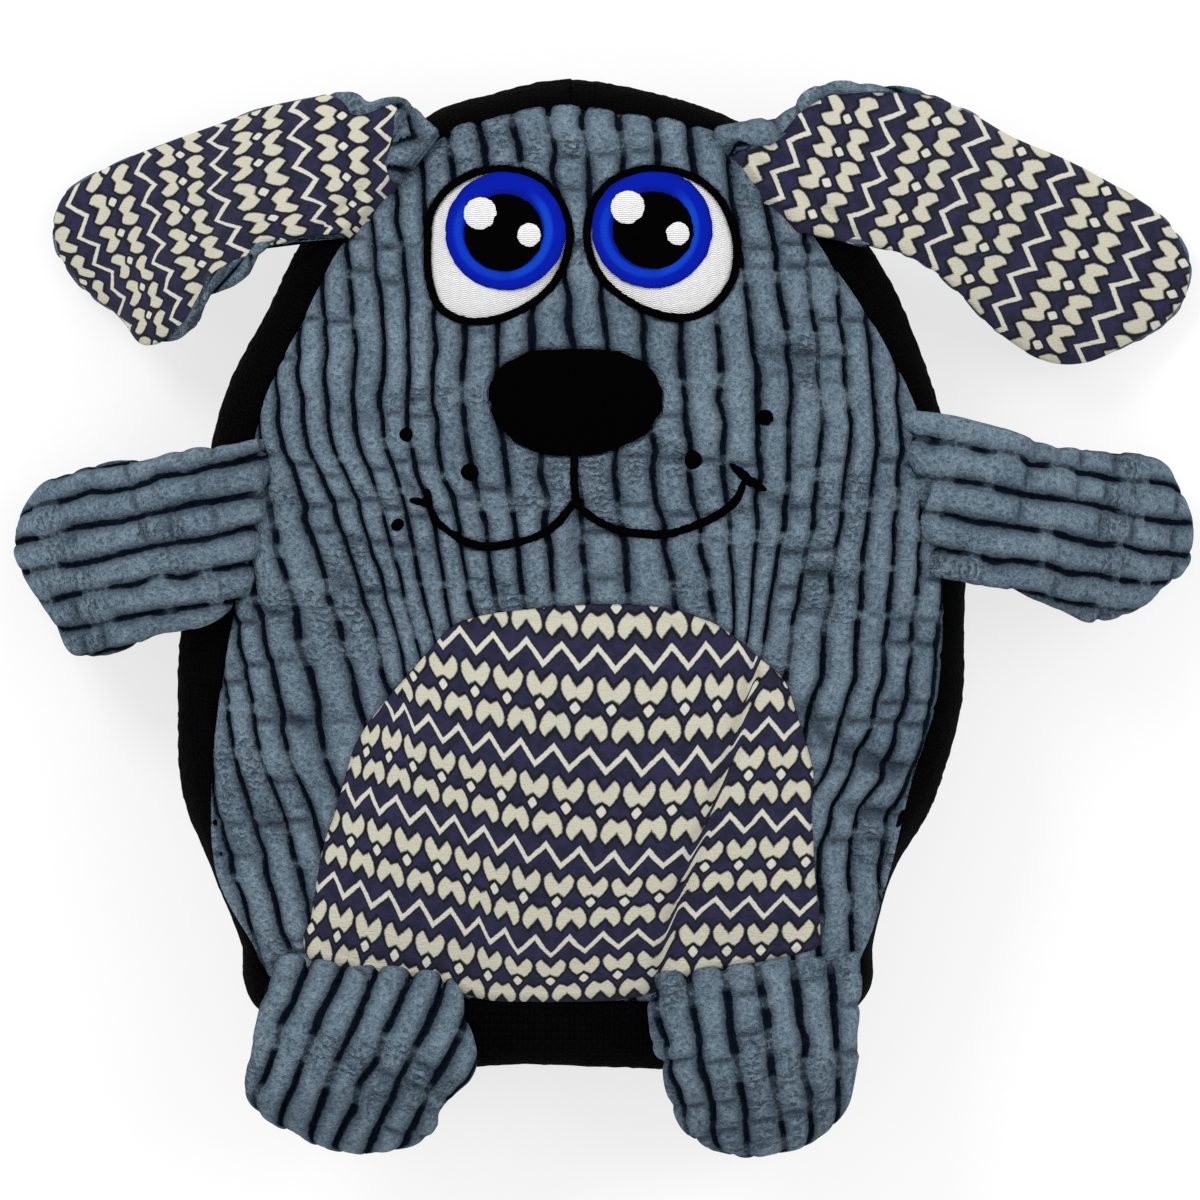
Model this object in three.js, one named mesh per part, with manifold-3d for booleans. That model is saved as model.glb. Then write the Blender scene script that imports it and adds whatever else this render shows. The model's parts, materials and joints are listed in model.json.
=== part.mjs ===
// A stuffed dog toy: a flat, rounded puppy of wide-wale plush with a black webbing side,
// a printed belly patch, an embroidered face, six sewn-on limbs and two squeakers inside.
// It lies on its back. Millimetres, +Z out of the face, +Y towards the top of the head.
// The origin is on the flat back face that it rests on, below the middle of the body.
import * as THREE from "three";
import { mergeVertices } from "three/addons/utils/BufferGeometryUtils.js";
import Module from "manifold-3d";

const wasm = await Module();
wasm.setup();

// Driving dimensions of the body
const bodyHalfWidth = 81;
const bodyHalfHeight = 97;
const bodyCentreY = 10.7;
const backSeamZ = 12;
const frontSeamZ = 40;
const frontCrown = 17;
const backCrown = 15;
const gussetBulge = 9;
const plushThickness = 3;
const webbingThickness = 2;
const fillingSlack = 0.8;
const fillingRimDrop = 1;

// Clearances between touching pieces, and how far a cutter runs past what it cuts
const clearance = 0.3;
const cutOverrun = 5;

// Belly patch. A height share places a piece from the middle of the body towards the top of the head.
const patchCentreX = -3;
const patchHeightShare = -0.5536;
const patchCentreY = bodyCentreY + patchHeightShare * bodyHalfHeight;
const patchHalfWidth = 57;
const patchHalfHeight = 42;
const printThickness = 0.8;

// Face
const eyeCentreX = 18;
const eyeHeightShare = 0.699;
const eyeCentreY = bodyCentreY + eyeHeightShare * bodyHalfHeight;
const eyeHalfWidth = 15.6;
const eyeHalfHeight = 16.5;
const eyeLineWidth = 1.6;
const irisRadius = 12.6;
const irisInset = 2.1;
const irisRise = 3.1;
const pupilRadius = 8.4;
const largeGlintRadius = 3.5;
const smallGlintRadius = 2.6;
const noseHeightShare = 0.336;
const noseCentreY = bodyCentreY + noseHeightShare * bodyHalfHeight;
const noseHalfWidth = 18.9;
const noseHalfHeight = 11.6;
const mouthHeightShare = 0.1165;
const mouthCentreY = bodyCentreY + mouthHeightShare * bodyHalfHeight;
const mouthHalfWidth = 38;
const mouthDepth = 10;
const stitchWidth = 2;
const whiskerDotRadius = 1.1;
const stitchThickness = 1.2;
const noseThickness = 1.8;
const stitchLift = 0.4;

// Limbs: reach out from the seam and spread along it, plan sizes
const rightEarReach = 59;
const rightEarSpread = 84;
const leftEarReach = 54;
const leftEarSpread = 61;
const rightArmReach = 54;
const rightArmSpread = 37;
const leftArmReach = 51;
const leftArmSpread = 36;
const legReach = 35;
const rightLegSpread = 43;
const leftLegSpread = 46;
const limbRootHalfThickness = 2.5;
const limbRootStandOff = 1.2;
const limbSkinThickness = 1.4;
const limbFillingSlack = 2.2;
const floorClearance = 0.8;
const earHalfThickness = 4;
const armHalfThickness = 7.5;
const legHalfThickness = 9;
const legTipLift = 14;

// Squeakers
const squeakerRadius = 20;
const squeakerHeight = 24;
const squeakerWall = 1;
const squeakerDiscThickness = 2;
const squeakerRibDepth = 4;
const squeakerDimple = 0.6;
const headSqueakerShare = 0.529;
const headSqueakerY = bodyCentreY + headSqueakerShare * bodyHalfHeight;
const bellySqueakerShare = -0.42;
const bellySqueakerY = bodyCentreY + bellySqueakerShare * bodyHalfHeight;
const reedPlugRadius = 4;
const reedFlangeRadius = 6.5;
const reedFlangeThickness = 1.5;
const reedBoreRadius = 2;

const squeakerRibCount = 3;
const roundSides = 20;
const seamSteps = 42;
const gussetSteps = 6;
const limbSteps = 9;
const limbArcSteps = 6;

// Finishes
const plush = { color: 0x5f7385, roughness: 0.95, metalness: 0 };
const webbing = { color: 0x0b0b0c, roughness: 0.9, metalness: 0 };
const print = { color: 0x77767a, roughness: 0.9, metalness: 0 };
const fibre = { color: 0xe9e7e2, roughness: 1, metalness: 0 };
const blackThread = { color: 0x060606, roughness: 0.7, metalness: 0 };
const whiteThread = { color: 0xf2f2f4, roughness: 0.6, metalness: 0 };
const blueThread = { color: 0x0a2cb0, roughness: 0.5, metalness: 0 };
const squeakerPlastic = { color: 0xe4e2da, roughness: 0.45, metalness: 0 };

const toy = new THREE.Group();

function addPiece(name, geometry, finish) {
  geometry.computeVertexNormals();
  const piece = new THREE.Mesh(geometry, new THREE.MeshStandardMaterial(finish));
  piece.name = name;
  toy.add(piece);
  return piece;
}

// Shares of the body's half width and half height, clockwise from the top of the head,
// and the share of the gusset's bulge that stands out beyond the seam there
const bodyOutlineShares = [
  [-0.01, 1.0, 0.76], [0.2, 0.98, 0.69], [0.4, 0.93, 0.67], [0.56, 0.81, 1.0], [0.69, 0.66, 1.11],
  [0.84, 0.47, 0.78], [0.94, 0.29, 0.58], [1.0, 0.07, 0.54], [1.0, -0.13, 0.54], [0.98, -0.34, 0.59],
  [0.92, -0.52, 0.59], [0.84, -0.71, 0.4], [0.78, -0.88, 0.4], [0.71, -0.98, 1.0], [0.45, -1.01, 1.67],
  [-0.04, -1.02, 1.67], [-0.56, -1.0, 1.67], [-0.8, -0.98, 1.0], [-0.88, -0.88, 0.4], [-0.96, -0.72, 0.4],
  [-0.99, -0.54, 0.94], [-0.96, -0.34, 1.29], [-0.92, -0.11, 1.24], [-0.89, 0.09, 1.18],
  [-0.85, 0.32, 1.06], [-0.74, 0.52, 0.98], [-0.61, 0.72, 0.89], [-0.38, 0.92, 0.73], [-0.2, 0.98, 0.72],
];

// Distances from the middle of the panel, and the rise of the crown there
const panelRingShares = [0, 0.3, 0.55, 0.74, 0.87, 0.95, 1];
const crownFallShare = 2.2;
const crownRoundShare = 0.75;

const bodyCentre = new THREE.Vector2(0, bodyCentreY);
const seamCurve = new THREE.CatmullRomCurve3(
  bodyOutlineShares.map(([x, y]) => (
    new THREE.Vector3(x * bodyHalfWidth, bodyCentreY + y * bodyHalfHeight, 0)
  )),
  true,
  "centripetal",
);
const bulgeCurve = new THREE.CatmullRomCurve3(
  bodyOutlineShares.map(([, , bulge]) => new THREE.Vector3(bulge * gussetBulge, 0, 0)),
  true,
);

// A place on the front seam: the point, the outward direction and the bulge of the gusset
function seamAt(share) {
  const point = seamCurve.getPointAt(share);
  const along = seamCurve.getTangentAt(share);
  const curveShare = seamCurve.getUtoTmapping(share);
  return {
    point: new THREE.Vector2(point.x, point.y),
    along: new THREE.Vector2(along.x, along.y).normalize(),
    outward: new THREE.Vector2(-along.y, along.x).normalize(),
    bulge: bulgeCurve.getPoint(curveShare).x,
  };
}

const seam = Array.from({ length: seamSteps }, (_, i) => seamAt(i / seamSteps));

function crownRise(share) {
  return Math.pow(Math.max(0, 1 - Math.pow(share, crownFallShare)), crownRoundShare);
}

// Surfaces and closed solids from rows of points
function addQuads(soup, rows, wraps, inwards = false) {
  for (let k = 0; k + 1 < rows.length; k++) {
    const count = rows[k].length;
    for (let i = 0; i < (wraps ? count : count - 1); i++) {
      const j = (i + 1) % count;
      const [a, b, c, d] = [rows[k][i], rows[k][j], rows[k + 1][j], rows[k + 1][i]];
      if (inwards) soup.push(a, c, b, a, d, c);
      else soup.push(a, b, c, a, c, d);
    }
  }
}

function closedGeometry(soup) {
  const loose = new THREE.BufferGeometry().setFromPoints(soup);
  const merged = mergeVertices(loose);
  const index = merged.index.array;
  const kept = [];
  for (let i = 0; i < index.length; i += 3) {
    const [a, b, c] = [index[i], index[i + 1], index[i + 2]];
    if (a !== b && b !== c && c !== a) kept.push(a, b, c);
  }
  const at = (i) => new THREE.Vector3().fromBufferAttribute(merged.attributes.position, i);
  let volume = 0;
  for (let i = 0; i < kept.length; i += 3) {
    volume += at(kept[i]).dot(at(kept[i + 1]).cross(at(kept[i + 2])));
  }
  if (volume < 0) kept.reverse();
  merged.setIndex(kept);
  return merged;
}

// A closed body through rings of points; a ring whose points are all alike closes an end
function loft(rings) {
  const soup = [];
  addQuads(soup, rings, true);
  return closedGeometry(soup);
}

// A cloth of two faces, joined along its edges
function sheet(outer, inner, wraps) {
  const soup = [];
  const last = outer.length - 1;
  addQuads(soup, outer, wraps);
  addQuads(soup, inner, wraps, true);
  addQuads(soup, [inner[0], outer[0]], wraps);
  addQuads(soup, [outer[last], inner[last]], wraps);
  if (!wraps) {
    const startOf = (rows) => rows.map((row) => row[0]).reverse();
    const endOf = (rows) => rows.map((row) => row.at(-1));
    addQuads(soup, [startOf(inner), startOf(outer)], false);
    addQuads(soup, [endOf(inner), endOf(outer)], false);
  }
  return closedGeometry(soup);
}

function toSolid(geometry) {
  const position = geometry.attributes.position;
  return new wasm.Manifold(new wasm.Mesh({
    numProp: 3,
    vertProperties: new Float32Array(position.array),
    triVerts: new Uint32Array(geometry.index.array),
  }));
}

function fromSolid(solid) {
  const mesh = solid.getMesh();
  const geometry = new THREE.BufferGeometry();
  geometry.setAttribute("position", new THREE.BufferAttribute(mesh.vertProperties, 3));
  geometry.setIndex(new THREE.BufferAttribute(mesh.triVerts, 1));
  return geometry;
}

function bareGeometry(geometry) {
  geometry.deleteAttribute("normal");
  geometry.deleteAttribute("uv");
  return mergeVertices(geometry);
}

// An upright cutter over an outline in plan, from the seam to above the crown
function prism(outline, lowZ = frontSeamZ - cutOverrun, highZ = frontSeamZ + frontCrown + cutOverrun) {
  const shape = new THREE.Shape(outline);
  const geometry = new THREE.ExtrudeGeometry(shape, { depth: highZ - lowZ, bevelEnabled: false });
  geometry.translate(0, 0, lowZ);
  return toSolid(bareGeometry(geometry));
}

// The panels: rings of a crowned form inside the seam
function panelRows(inset, rise, floorZ, seamZ, side) {
  return panelRingShares.map((share) => seam.map((place) => {
    const edge = place.point.clone().addScaledVector(place.outward, -inset);
    const plan = edge.sub(bodyCentre).multiplyScalar(share).add(bodyCentre);
    const z = seamZ + side * rise * crownRise(share);
    return new THREE.Vector3(plan.x, plan.y, Math.max(floorZ, z));
  }));
}

function addPanels() {
  const front = sheet(
    panelRows(0, frontCrown, 0, frontSeamZ, 1),
    panelRows(plushThickness, frontCrown - plushThickness, 0, frontSeamZ, 1),
    true,
  );
  addPiece("front_panel", front, plush);
  const back = sheet(
    panelRows(0, backCrown, 0, backSeamZ, -1),
    panelRows(plushThickness, backCrown - plushThickness, plushThickness, backSeamZ, -1),
    true,
  );
  addPiece("back_panel", back, plush);
}

// The gusset bulges out between the two seams
const gussetMidZ = (frontSeamZ + backSeamZ) / 2;
const gussetHalfHeight = (frontSeamZ - backSeamZ) / 2 - clearance;

function gussetRow(turn, inset) {
  return seam.map((place) => {
    const out = place.bulge * Math.sin(turn) - inset;
    const plan = place.point.clone().addScaledVector(place.outward, out);
    return new THREE.Vector3(plan.x, plan.y, gussetMidZ + gussetHalfHeight * Math.cos(turn));
  });
}

function gussetTurns(steps, from, to) {
  return Array.from({ length: steps + 1 }, (_, k) => from + ((to - from) * k) / steps);
}

function addGusset() {
  const turns = gussetTurns(gussetSteps, 0, Math.PI);
  const outer = turns.map((turn) => gussetRow(turn, 0));
  const inner = turns.map((turn) => gussetRow(turn, webbingThickness));
  addPiece("side_gusset", sheet(outer, inner, true), webbing);
}

// The filling in two halves that meet at the middle of the gusset, with pockets for the squeakers
function collapsed(row) {
  const middle = row.reduce((sum, p) => sum.add(p), new THREE.Vector3()).divideScalar(row.length);
  return row.map(() => middle);
}

function pocket(centreY) {
  const half = squeakerHeight / 2 + clearance;
  const radius = squeakerRadius + clearance;
  const geometry = new THREE.CylinderGeometry(radius, radius, half * 2, roundSides);
  geometry.rotateX(Math.PI / 2);
  geometry.translate(0, centreY, gussetMidZ);
  return toSolid(bareGeometry(geometry));
}

function addFilling(name, seamZ, rise, floorZ, side) {
  const quarter = Math.PI / 2;
  const turns = gussetTurns(gussetSteps / 2, quarter, side > 0 ? 0 : Math.PI).slice(0, -1);
  const bulging = turns.map((turn) => gussetRow(turn, webbingThickness + fillingSlack));
  bulging[0].forEach((p) => p.setZ(p.z + (side * clearance) / 2));
  const rimZ = seamZ - side * fillingRimDrop;
  const crown = panelRows(plushThickness + fillingSlack, rise, floorZ, rimZ, side).reverse();
  const rings = [collapsed(bulging[0]), ...bulging, ...crown];
  const filling = toSolid(loft(rings)).subtract(pocket(headSqueakerY)).subtract(pocket(bellySqueakerY));
  addPiece(name, fromSolid(filling), fibre);
}

function addFillings() {
  addFilling("front_filling", frontSeamZ, frontCrown - plushThickness, 0, 1);
  addFilling("back_filling", backSeamZ, backCrown - plushThickness, plushThickness + clearance, -1);
}

// A thin pad that follows the crown of the front panel over an outline in plan
function liftedRows(lift) {
  return panelRows(0, frontCrown, 0, frontSeamZ, 1).map((row) => row.map((p) => p.setZ(p.z + lift)));
}

function crownPad(outline, thickness) {
  const pad = sheet(liftedRows(stitchLift + thickness), liftedRows(stitchLift), true);
  return toSolid(pad).intersect(prism(outline));
}

// A closed outline through points, each given as shares of two half sizes
function outlineFrom(shares, centreX, centreY, halfWidth, halfHeight, steps) {
  const points = shares.map(([x, y]) => (
    new THREE.Vector3(centreX + x * halfWidth, centreY + y * halfHeight, 0)
  ));
  const curve = new THREE.CatmullRomCurve3(points, true, "centripetal");
  return curve.getSpacedPoints(steps).slice(0, -1).map((p) => new THREE.Vector2(p.x, p.y));
}

function circle(centre, radius, steps) {
  return Array.from({ length: steps }, (_, i) => {
    const turn = (2 * Math.PI * i) / steps;
    return new THREE.Vector2(centre.x + radius * Math.cos(turn), centre.y + radius * Math.sin(turn));
  });
}

const patchOutlineShares = [
  [-0.99, -0.74], [-0.92, -0.28], [-0.79, 0.26], [-0.53, 0.71], [-0.31, 0.94], [0.01, 1.0], [0.38, 0.99],
  [0.69, 0.81], [0.9, 0.4], [0.97, -0.11], [0.98, -0.72], [0.77, -0.86], [0.36, -0.93], [-0.24, -0.95],
  [-0.74, -0.89], [-0.97, -0.82],
];
const patchSteps = 40;

function addBellyPatch() {
  const outline = outlineFrom(
    patchOutlineShares, patchCentreX, patchCentreY, patchHalfWidth, patchHalfHeight, patchSteps,
  );
  addPiece("belly_patch", fromSolid(crownPad(outline, printThickness)), print);
}

// Eyes: an egg that leans out and down, drawn for the one on the -X side
const eyeOutlineShares = [
  [-1, -0.09], [-0.86, 0.37], [-0.48, 0.8], [0.15, 1], [0.72, 0.75], [1, 0.12], [0.86, -0.43],
  [0.44, -0.83], [-0.32, -1], [-0.83, -0.73],
];
const largeGlintShares = [-0.57, 0.44];
const smallGlintShares = [0.74, -0.11];
const eyeSteps = 32;
const irisSteps = 24;
const glintSteps = 12;

function addEye(name, side) {
  const shares = eyeOutlineShares.map(([x, y]) => [-side * x, y]);
  const eyeOutline = (inset) => outlineFrom(
    shares, side * eyeCentreX, eyeCentreY, eyeHalfWidth - inset, eyeHalfHeight - inset, eyeSteps,
  );
  const irisCentre = new THREE.Vector2(side * (eyeCentreX - irisInset), eyeCentreY + irisRise);
  const glintPlace = ([x, y]) => (
    new THREE.Vector2(irisCentre.x + x * pupilRadius, irisCentre.y + y * pupilRadius)
  );
  const glints = [
    ["large_glint", glintPlace(largeGlintShares), largeGlintRadius],
    ["small_glint", glintPlace(smallGlintShares), smallGlintRadius],
  ];
  const round = (centre, radius, steps) => prism(circle(centre, radius, steps));
  const field = crownPad(eyeOutline(eyeLineWidth + clearance), stitchThickness);
  const withoutGlints = (solid) => glints.reduce(
    (rest, [, centre, radius]) => rest.subtract(round(centre, radius + clearance, glintSteps)), solid,
  );

  const line = crownPad(eyeOutline(0), stitchThickness).subtract(prism(eyeOutline(eyeLineWidth)));
  const white = field.subtract(round(irisCentre, irisRadius + clearance, irisSteps));
  const iris = field.intersect(round(irisCentre, irisRadius, irisSteps))
    .subtract(round(irisCentre, pupilRadius + clearance, irisSteps));
  const pupil = field.intersect(round(irisCentre, pupilRadius, irisSteps));
  addPiece(`${name}_outline`, fromSolid(line), blackThread);
  addPiece(`${name}_white`, fromSolid(white), whiteThread);
  addPiece(`${name}_iris`, fromSolid(withoutGlints(iris)), blueThread);
  addPiece(`${name}_pupil`, fromSolid(withoutGlints(pupil)), blackThread);
  glints.forEach(([glint, centre, radius]) => {
    const spot = crownPad(circle(centre, radius, glintSteps), stitchThickness);
    addPiece(`${name}_${glint}`, fromSolid(spot), whiteThread);
  });
}

const noseOutlineShares = [
  [-1, 0.1], [-0.75, 0.75], [-0.25, 1], [0.3, 1], [0.78, 0.75], [1, 0.1], [0.8, -0.45], [0.35, -0.88],
  [-0.1, -1], [-0.55, -0.82], [-0.9, -0.4],
];
const noseSteps = 24;

function addNose() {
  const outline = outlineFrom(noseOutlineShares, 0, noseCentreY, noseHalfWidth, noseHalfHeight, noseSteps);
  addPiece("nose", fromSolid(crownPad(outline, noseThickness)), blackThread);
}

// Mouth: lines of satin stitch, given as shares of the mouth's half width and depth
const leftSmileShares = [
  [0, 0], [-0.12, -0.55], [-0.32, -0.95], [-0.51, -1], [-0.69, -0.66], [-0.84, -0.11], [-0.88, 0.2],
];
const rightSmileShares = [[0, 0], [0.14, -0.44], [0.38, -0.66], [0.67, -0.55], [0.9, 0], [1, 0.42]];
const leftCornerShares = [[-0.94, 0.05], [-0.82, 0.3]];
const rightCornerShares = [[0.92, 0.68], [1.08, 0.28]];
const smileSteps = 8;

function strokeOutline(points) {
  const sides = [[], []];
  points.forEach((point, i) => {
    const ahead = points[Math.min(i + 1, points.length - 1)];
    const behind = points[Math.max(i - 1, 0)];
    const along = ahead.clone().sub(behind).normalize();
    const across = new THREE.Vector2(-along.y, along.x).multiplyScalar(stitchWidth / 2);
    sides[0].push(point.clone().add(across));
    sides[1].unshift(point.clone().sub(across));
  });
  return [...sides[0], ...sides[1]];
}

function mouthPoint([x, y]) {
  return new THREE.Vector2(x * mouthHalfWidth, mouthCentreY + y * mouthDepth);
}

function addMouth() {
  const smiles = [leftSmileShares, rightSmileShares].map((shares) => {
    const points = shares.map(mouthPoint).map((p) => new THREE.Vector3(p.x, p.y, 0));
    const curve = new THREE.CatmullRomCurve3(points);
    return curve.getSpacedPoints(smileSteps).map((p) => new THREE.Vector2(p.x, p.y));
  });
  const noseLowY = noseCentreY - noseHalfHeight;
  const philtrum = [
    new THREE.Vector2(0, noseLowY - clearance),
    new THREE.Vector2(0, mouthCentreY - stitchWidth / 2),
  ];
  const corners = [leftCornerShares, rightCornerShares].map((shares) => shares.map(mouthPoint));
  const strokes = [...smiles, philtrum, ...corners]
    .map((points) => crownPad(strokeOutline(points), stitchThickness));
  const joined = strokes.reduce((sum, stroke) => sum.add(stroke));
  addPiece("mouth", fromSolid(joined), blackThread);
}

// Whisker dots, as shares of the mouth's half width from the middle of the mouth
const whiskerDotShares = [[-0.97, 0.37], [-0.61, 0.16], [-1.02, -0.14], [1.1, 0.47], [0.68, 0.24]];
const whiskerSteps = 8;

function addWhiskerDots() {
  whiskerDotShares.forEach(([x, y], i) => {
    const centre = new THREE.Vector2(x * mouthHalfWidth, mouthCentreY + y * mouthHalfWidth);
    const dot = crownPad(circle(centre, whiskerDotRadius, whiskerSteps), stitchThickness);
    addPiece(`whisker_dot_${i + 1}`, fromSolid(dot), blackThread);
  });
}

// Limbs: two edges from the root to one tip, as shares of the reach and the spread.
// The root runs along the seam, from the share of the seam that is given.
const limbs = [
  {
    name: "right_ear", seamShare: 0.079, reach: rightEarReach, spread: rightEarSpread,
    halfThickness: earHalfThickness,
    tipLift: floorClearance, frontFinish: print,
    firstEdgeShares: [
      [0, -0.17], [0.17, -0.11], [0.34, -0.09], [0.56, 0.04], [0.74, 0.25], [0.88, 0.52], [1, 0.81],
      [0.96, 0.92], [0.85, 0.99],
    ],
    secondEdgeShares: [
      [0, 0.17], [0.08, 0.29], [0.19, 0.4], [0.24, 0.59], [0.25, 0.7], [0.3, 0.85], [0.41, 0.93],
      [0.58, 0.97], [0.73, 1], [0.85, 0.99],
    ],
  },
  {
    name: "left_ear", seamShare: 0.924, reach: leftEarReach, spread: leftEarSpread,
    halfThickness: earHalfThickness,
    tipLift: floorClearance, frontFinish: print,
    firstEdgeShares: [
      [0, -0.25], [0.13, -0.35], [0.23, -0.5], [0.23, -0.65], [0.23, -0.82], [0.27, -0.94], [0.35, -1],
      [0.49, -1], [0.68, -1], [0.84, -0.98],
    ],
    secondEdgeShares: [
      [0, 0.25], [0.19, 0.25], [0.38, 0.13], [0.59, -0.07], [0.71, -0.25], [0.83, -0.43], [0.93, -0.6],
      [1, -0.78], [0.93, -0.92], [0.84, -0.98],
    ],
  },
  {
    name: "right_arm", seamShare: 0.212, reach: rightArmReach, spread: rightArmSpread,
    halfThickness: armHalfThickness,
    tipLift: floorClearance, frontFinish: plush,
    firstEdgeShares: [
      [0, -0.49], [0.12, -0.41], [0.32, -0.29], [0.49, -0.15], [0.7, -0.07], [0.91, 0.03], [0.98, 0.19],
      [1, 0.42], [0.97, 0.62],
    ],
    secondEdgeShares: [
      [0, 0.49], [0.21, 0.62], [0.43, 0.81], [0.52, 0.9], [0.65, 0.9], [0.77, 0.86], [0.93, 0.73],
      [0.97, 0.62],
    ],
  },
  {
    name: "left_arm", seamShare: 0.787, reach: leftArmReach, spread: leftArmSpread,
    halfThickness: armHalfThickness,
    tipLift: floorClearance, frontFinish: plush,
    firstEdgeShares: [
      [0, -0.5], [0.12, -0.65], [0.31, -0.74], [0.45, -0.87], [0.55, -0.92], [0.68, -0.94],
      [0.73, -0.83], [0.85, -0.65], [0.93, -0.5], [1, -0.38],
    ],
    secondEdgeShares: [
      [0, 0.49], [0.32, 0.35], [0.55, 0.26], [0.82, 0.12], [0.9, 0.05], [0.97, -0.1], [0.99, -0.27],
      [1, -0.38],
    ],
  },
  {
    name: "right_leg", seamShare: 0.432, reach: legReach, spread: rightLegSpread,
    halfThickness: legHalfThickness,
    tipLift: legTipLift, frontFinish: plush,
    firstEdgeShares: [
      [0, -0.51], [0.27, -0.49], [0.67, -0.46], [0.81, -0.4], [0.89, -0.29], [0.95, -0.2], [1, -0.07],
    ],
    secondEdgeShares: [
      [0, 0.51], [0.32, 0.52], [0.61, 0.45], [0.83, 0.37], [0.94, 0.22], [0.98, 0.05], [1, -0.07],
    ],
  },
  {
    name: "left_leg", seamShare: 0.577, reach: legReach, spread: leftLegSpread,
    halfThickness: legHalfThickness,
    tipLift: legTipLift, frontFinish: plush,
    firstEdgeShares: [
      [0, -0.45], [0.1, -0.47], [0.38, -0.54], [0.59, -0.46], [0.72, -0.37], [0.84, -0.35],
      [0.91, -0.27], [0.96, -0.17], [1, -0.09],
    ],
    secondEdgeShares: [
      [0, 0.47], [0.31, 0.51], [0.5, 0.53], [0.66, 0.53], [0.84, 0.41], [0.9, 0.3], [0.96, 0.23],
      [0.99, 0.12], [1, -0.09],
    ],
  },
];

const limbStepCrowdingShare = 1.4;
const limbSwellEndShare = 0.5;
const limbTipRoundShare = 4;
const limbSectionFullShare = 2.4;
const limbSectionRoundShare = 0.6;

// The stations of a limb: both edge points in plan, the middle height and the half thickness
function limbStations(limb) {
  const place = seamAt(limb.seamShare);
  const root = place.point.clone().addScaledVector(place.outward, limbRootStandOff);
  const edge = (shares) => new THREE.CatmullRomCurve3(shares.map(([out, along]) => {
    const plan = root.clone()
      .addScaledVector(place.outward, out * limb.reach)
      .addScaledVector(place.along, along * limb.spread);
    return new THREE.Vector3(plan.x, plan.y, 0);
  }), false, "centripetal");
  const first = edge(limb.firstEdgeShares);
  const second = edge(limb.secondEdgeShares);
  const rootUnderZ = frontSeamZ + 2 * clearance;
  return Array.from({ length: limbSteps + 1 }, (_, k) => {
    const share = 1 - Math.pow(1 - k / limbSteps, limbStepCrowdingShare);
    const swell = THREE.MathUtils.lerp(
      limbRootHalfThickness, limb.halfThickness, THREE.MathUtils.smoothstep(share, 0, limbSwellEndShare),
    );
    const under = THREE.MathUtils.lerp(limb.tipLift, rootUnderZ, (1 + Math.cos(Math.PI * share)) / 2);
    return {
      first: first.getPointAt(share),
      second: second.getPointAt(share),
      middleZ: under + swell,
      half: k === limbSteps ? 0 : swell * Math.sqrt(1 - Math.pow(share, limbTipRoundShare)),
    };
  });
}

// Half of a limb's section, above or below its edges, drawn in by a share of its size
function limbArc(station, side, drawnInShare, gap) {
  const middle = station.first.clone().add(station.second).multiplyScalar(0.5);
  const toSecond = station.second.clone().sub(station.first).multiplyScalar(0.5);
  const width = toSecond.length();
  const usedWidth = Math.max(0, width * (1 - drawnInShare) - gap);
  const usedHalf = Math.max(0, station.half * (1 - drawnInShare) - gap);
  const direction = toSecond.clone().normalize();
  return Array.from({ length: limbArcSteps + 1 }, (_, i) => {
    const across = -Math.cos((Math.PI * i) / limbArcSteps);
    const fall = Math.pow(Math.abs(across), limbSectionFullShare);
    const profile = Math.pow(Math.max(0, 1 - fall), limbSectionRoundShare);
    const point = middle.clone().addScaledVector(direction, across * usedWidth);
    return point.setZ(station.middleZ + side * (clearance / 2 + usedHalf * profile));
  });
}

function addLimb(limb) {
  const stations = limbStations(limb);
  const skinShare = limbSkinThickness / limb.halfThickness;
  const skin = (side) => {
    const outer = stations.map((station) => limbArc(station, side, 0, 0));
    const inner = stations.map((station) => limbArc(station, side, skinShare, 0));
    return sheet(outer, inner, false);
  };
  addPiece(`${limb.name}_front`, skin(1), limb.frontFinish);
  addPiece(`${limb.name}_back`, skin(-1), plush);

  const filled = stations.slice(0, -2).map((station) => {
    const upper = limbArc(station, 1, skinShare, limbFillingSlack);
    const lower = limbArc(station, -1, skinShare, limbFillingSlack);
    return [...upper, ...lower.reverse().slice(1, -1)];
  });
  const filling = loft([collapsed(filled[0]), ...filled, collapsed(filled.at(-1))]);
  addPiece(`${limb.name}_filling`, filling, fibre);
}

// Squeakers: revolved about an upright axis
function revolve(profile, centreY) {
  const geometry = new THREE.LatheGeometry(profile.map(([r, z]) => new THREE.Vector2(r, z)), roundSides);
  geometry.rotateX(Math.PI / 2);
  geometry.translate(0, centreY, gussetMidZ);
  const position = bareGeometry(geometry);
  const corners = Array.from(position.index.array, (i) => (
    new THREE.Vector3().fromBufferAttribute(position.attributes.position, i)
  ));
  return closedGeometry(corners);
}

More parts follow.
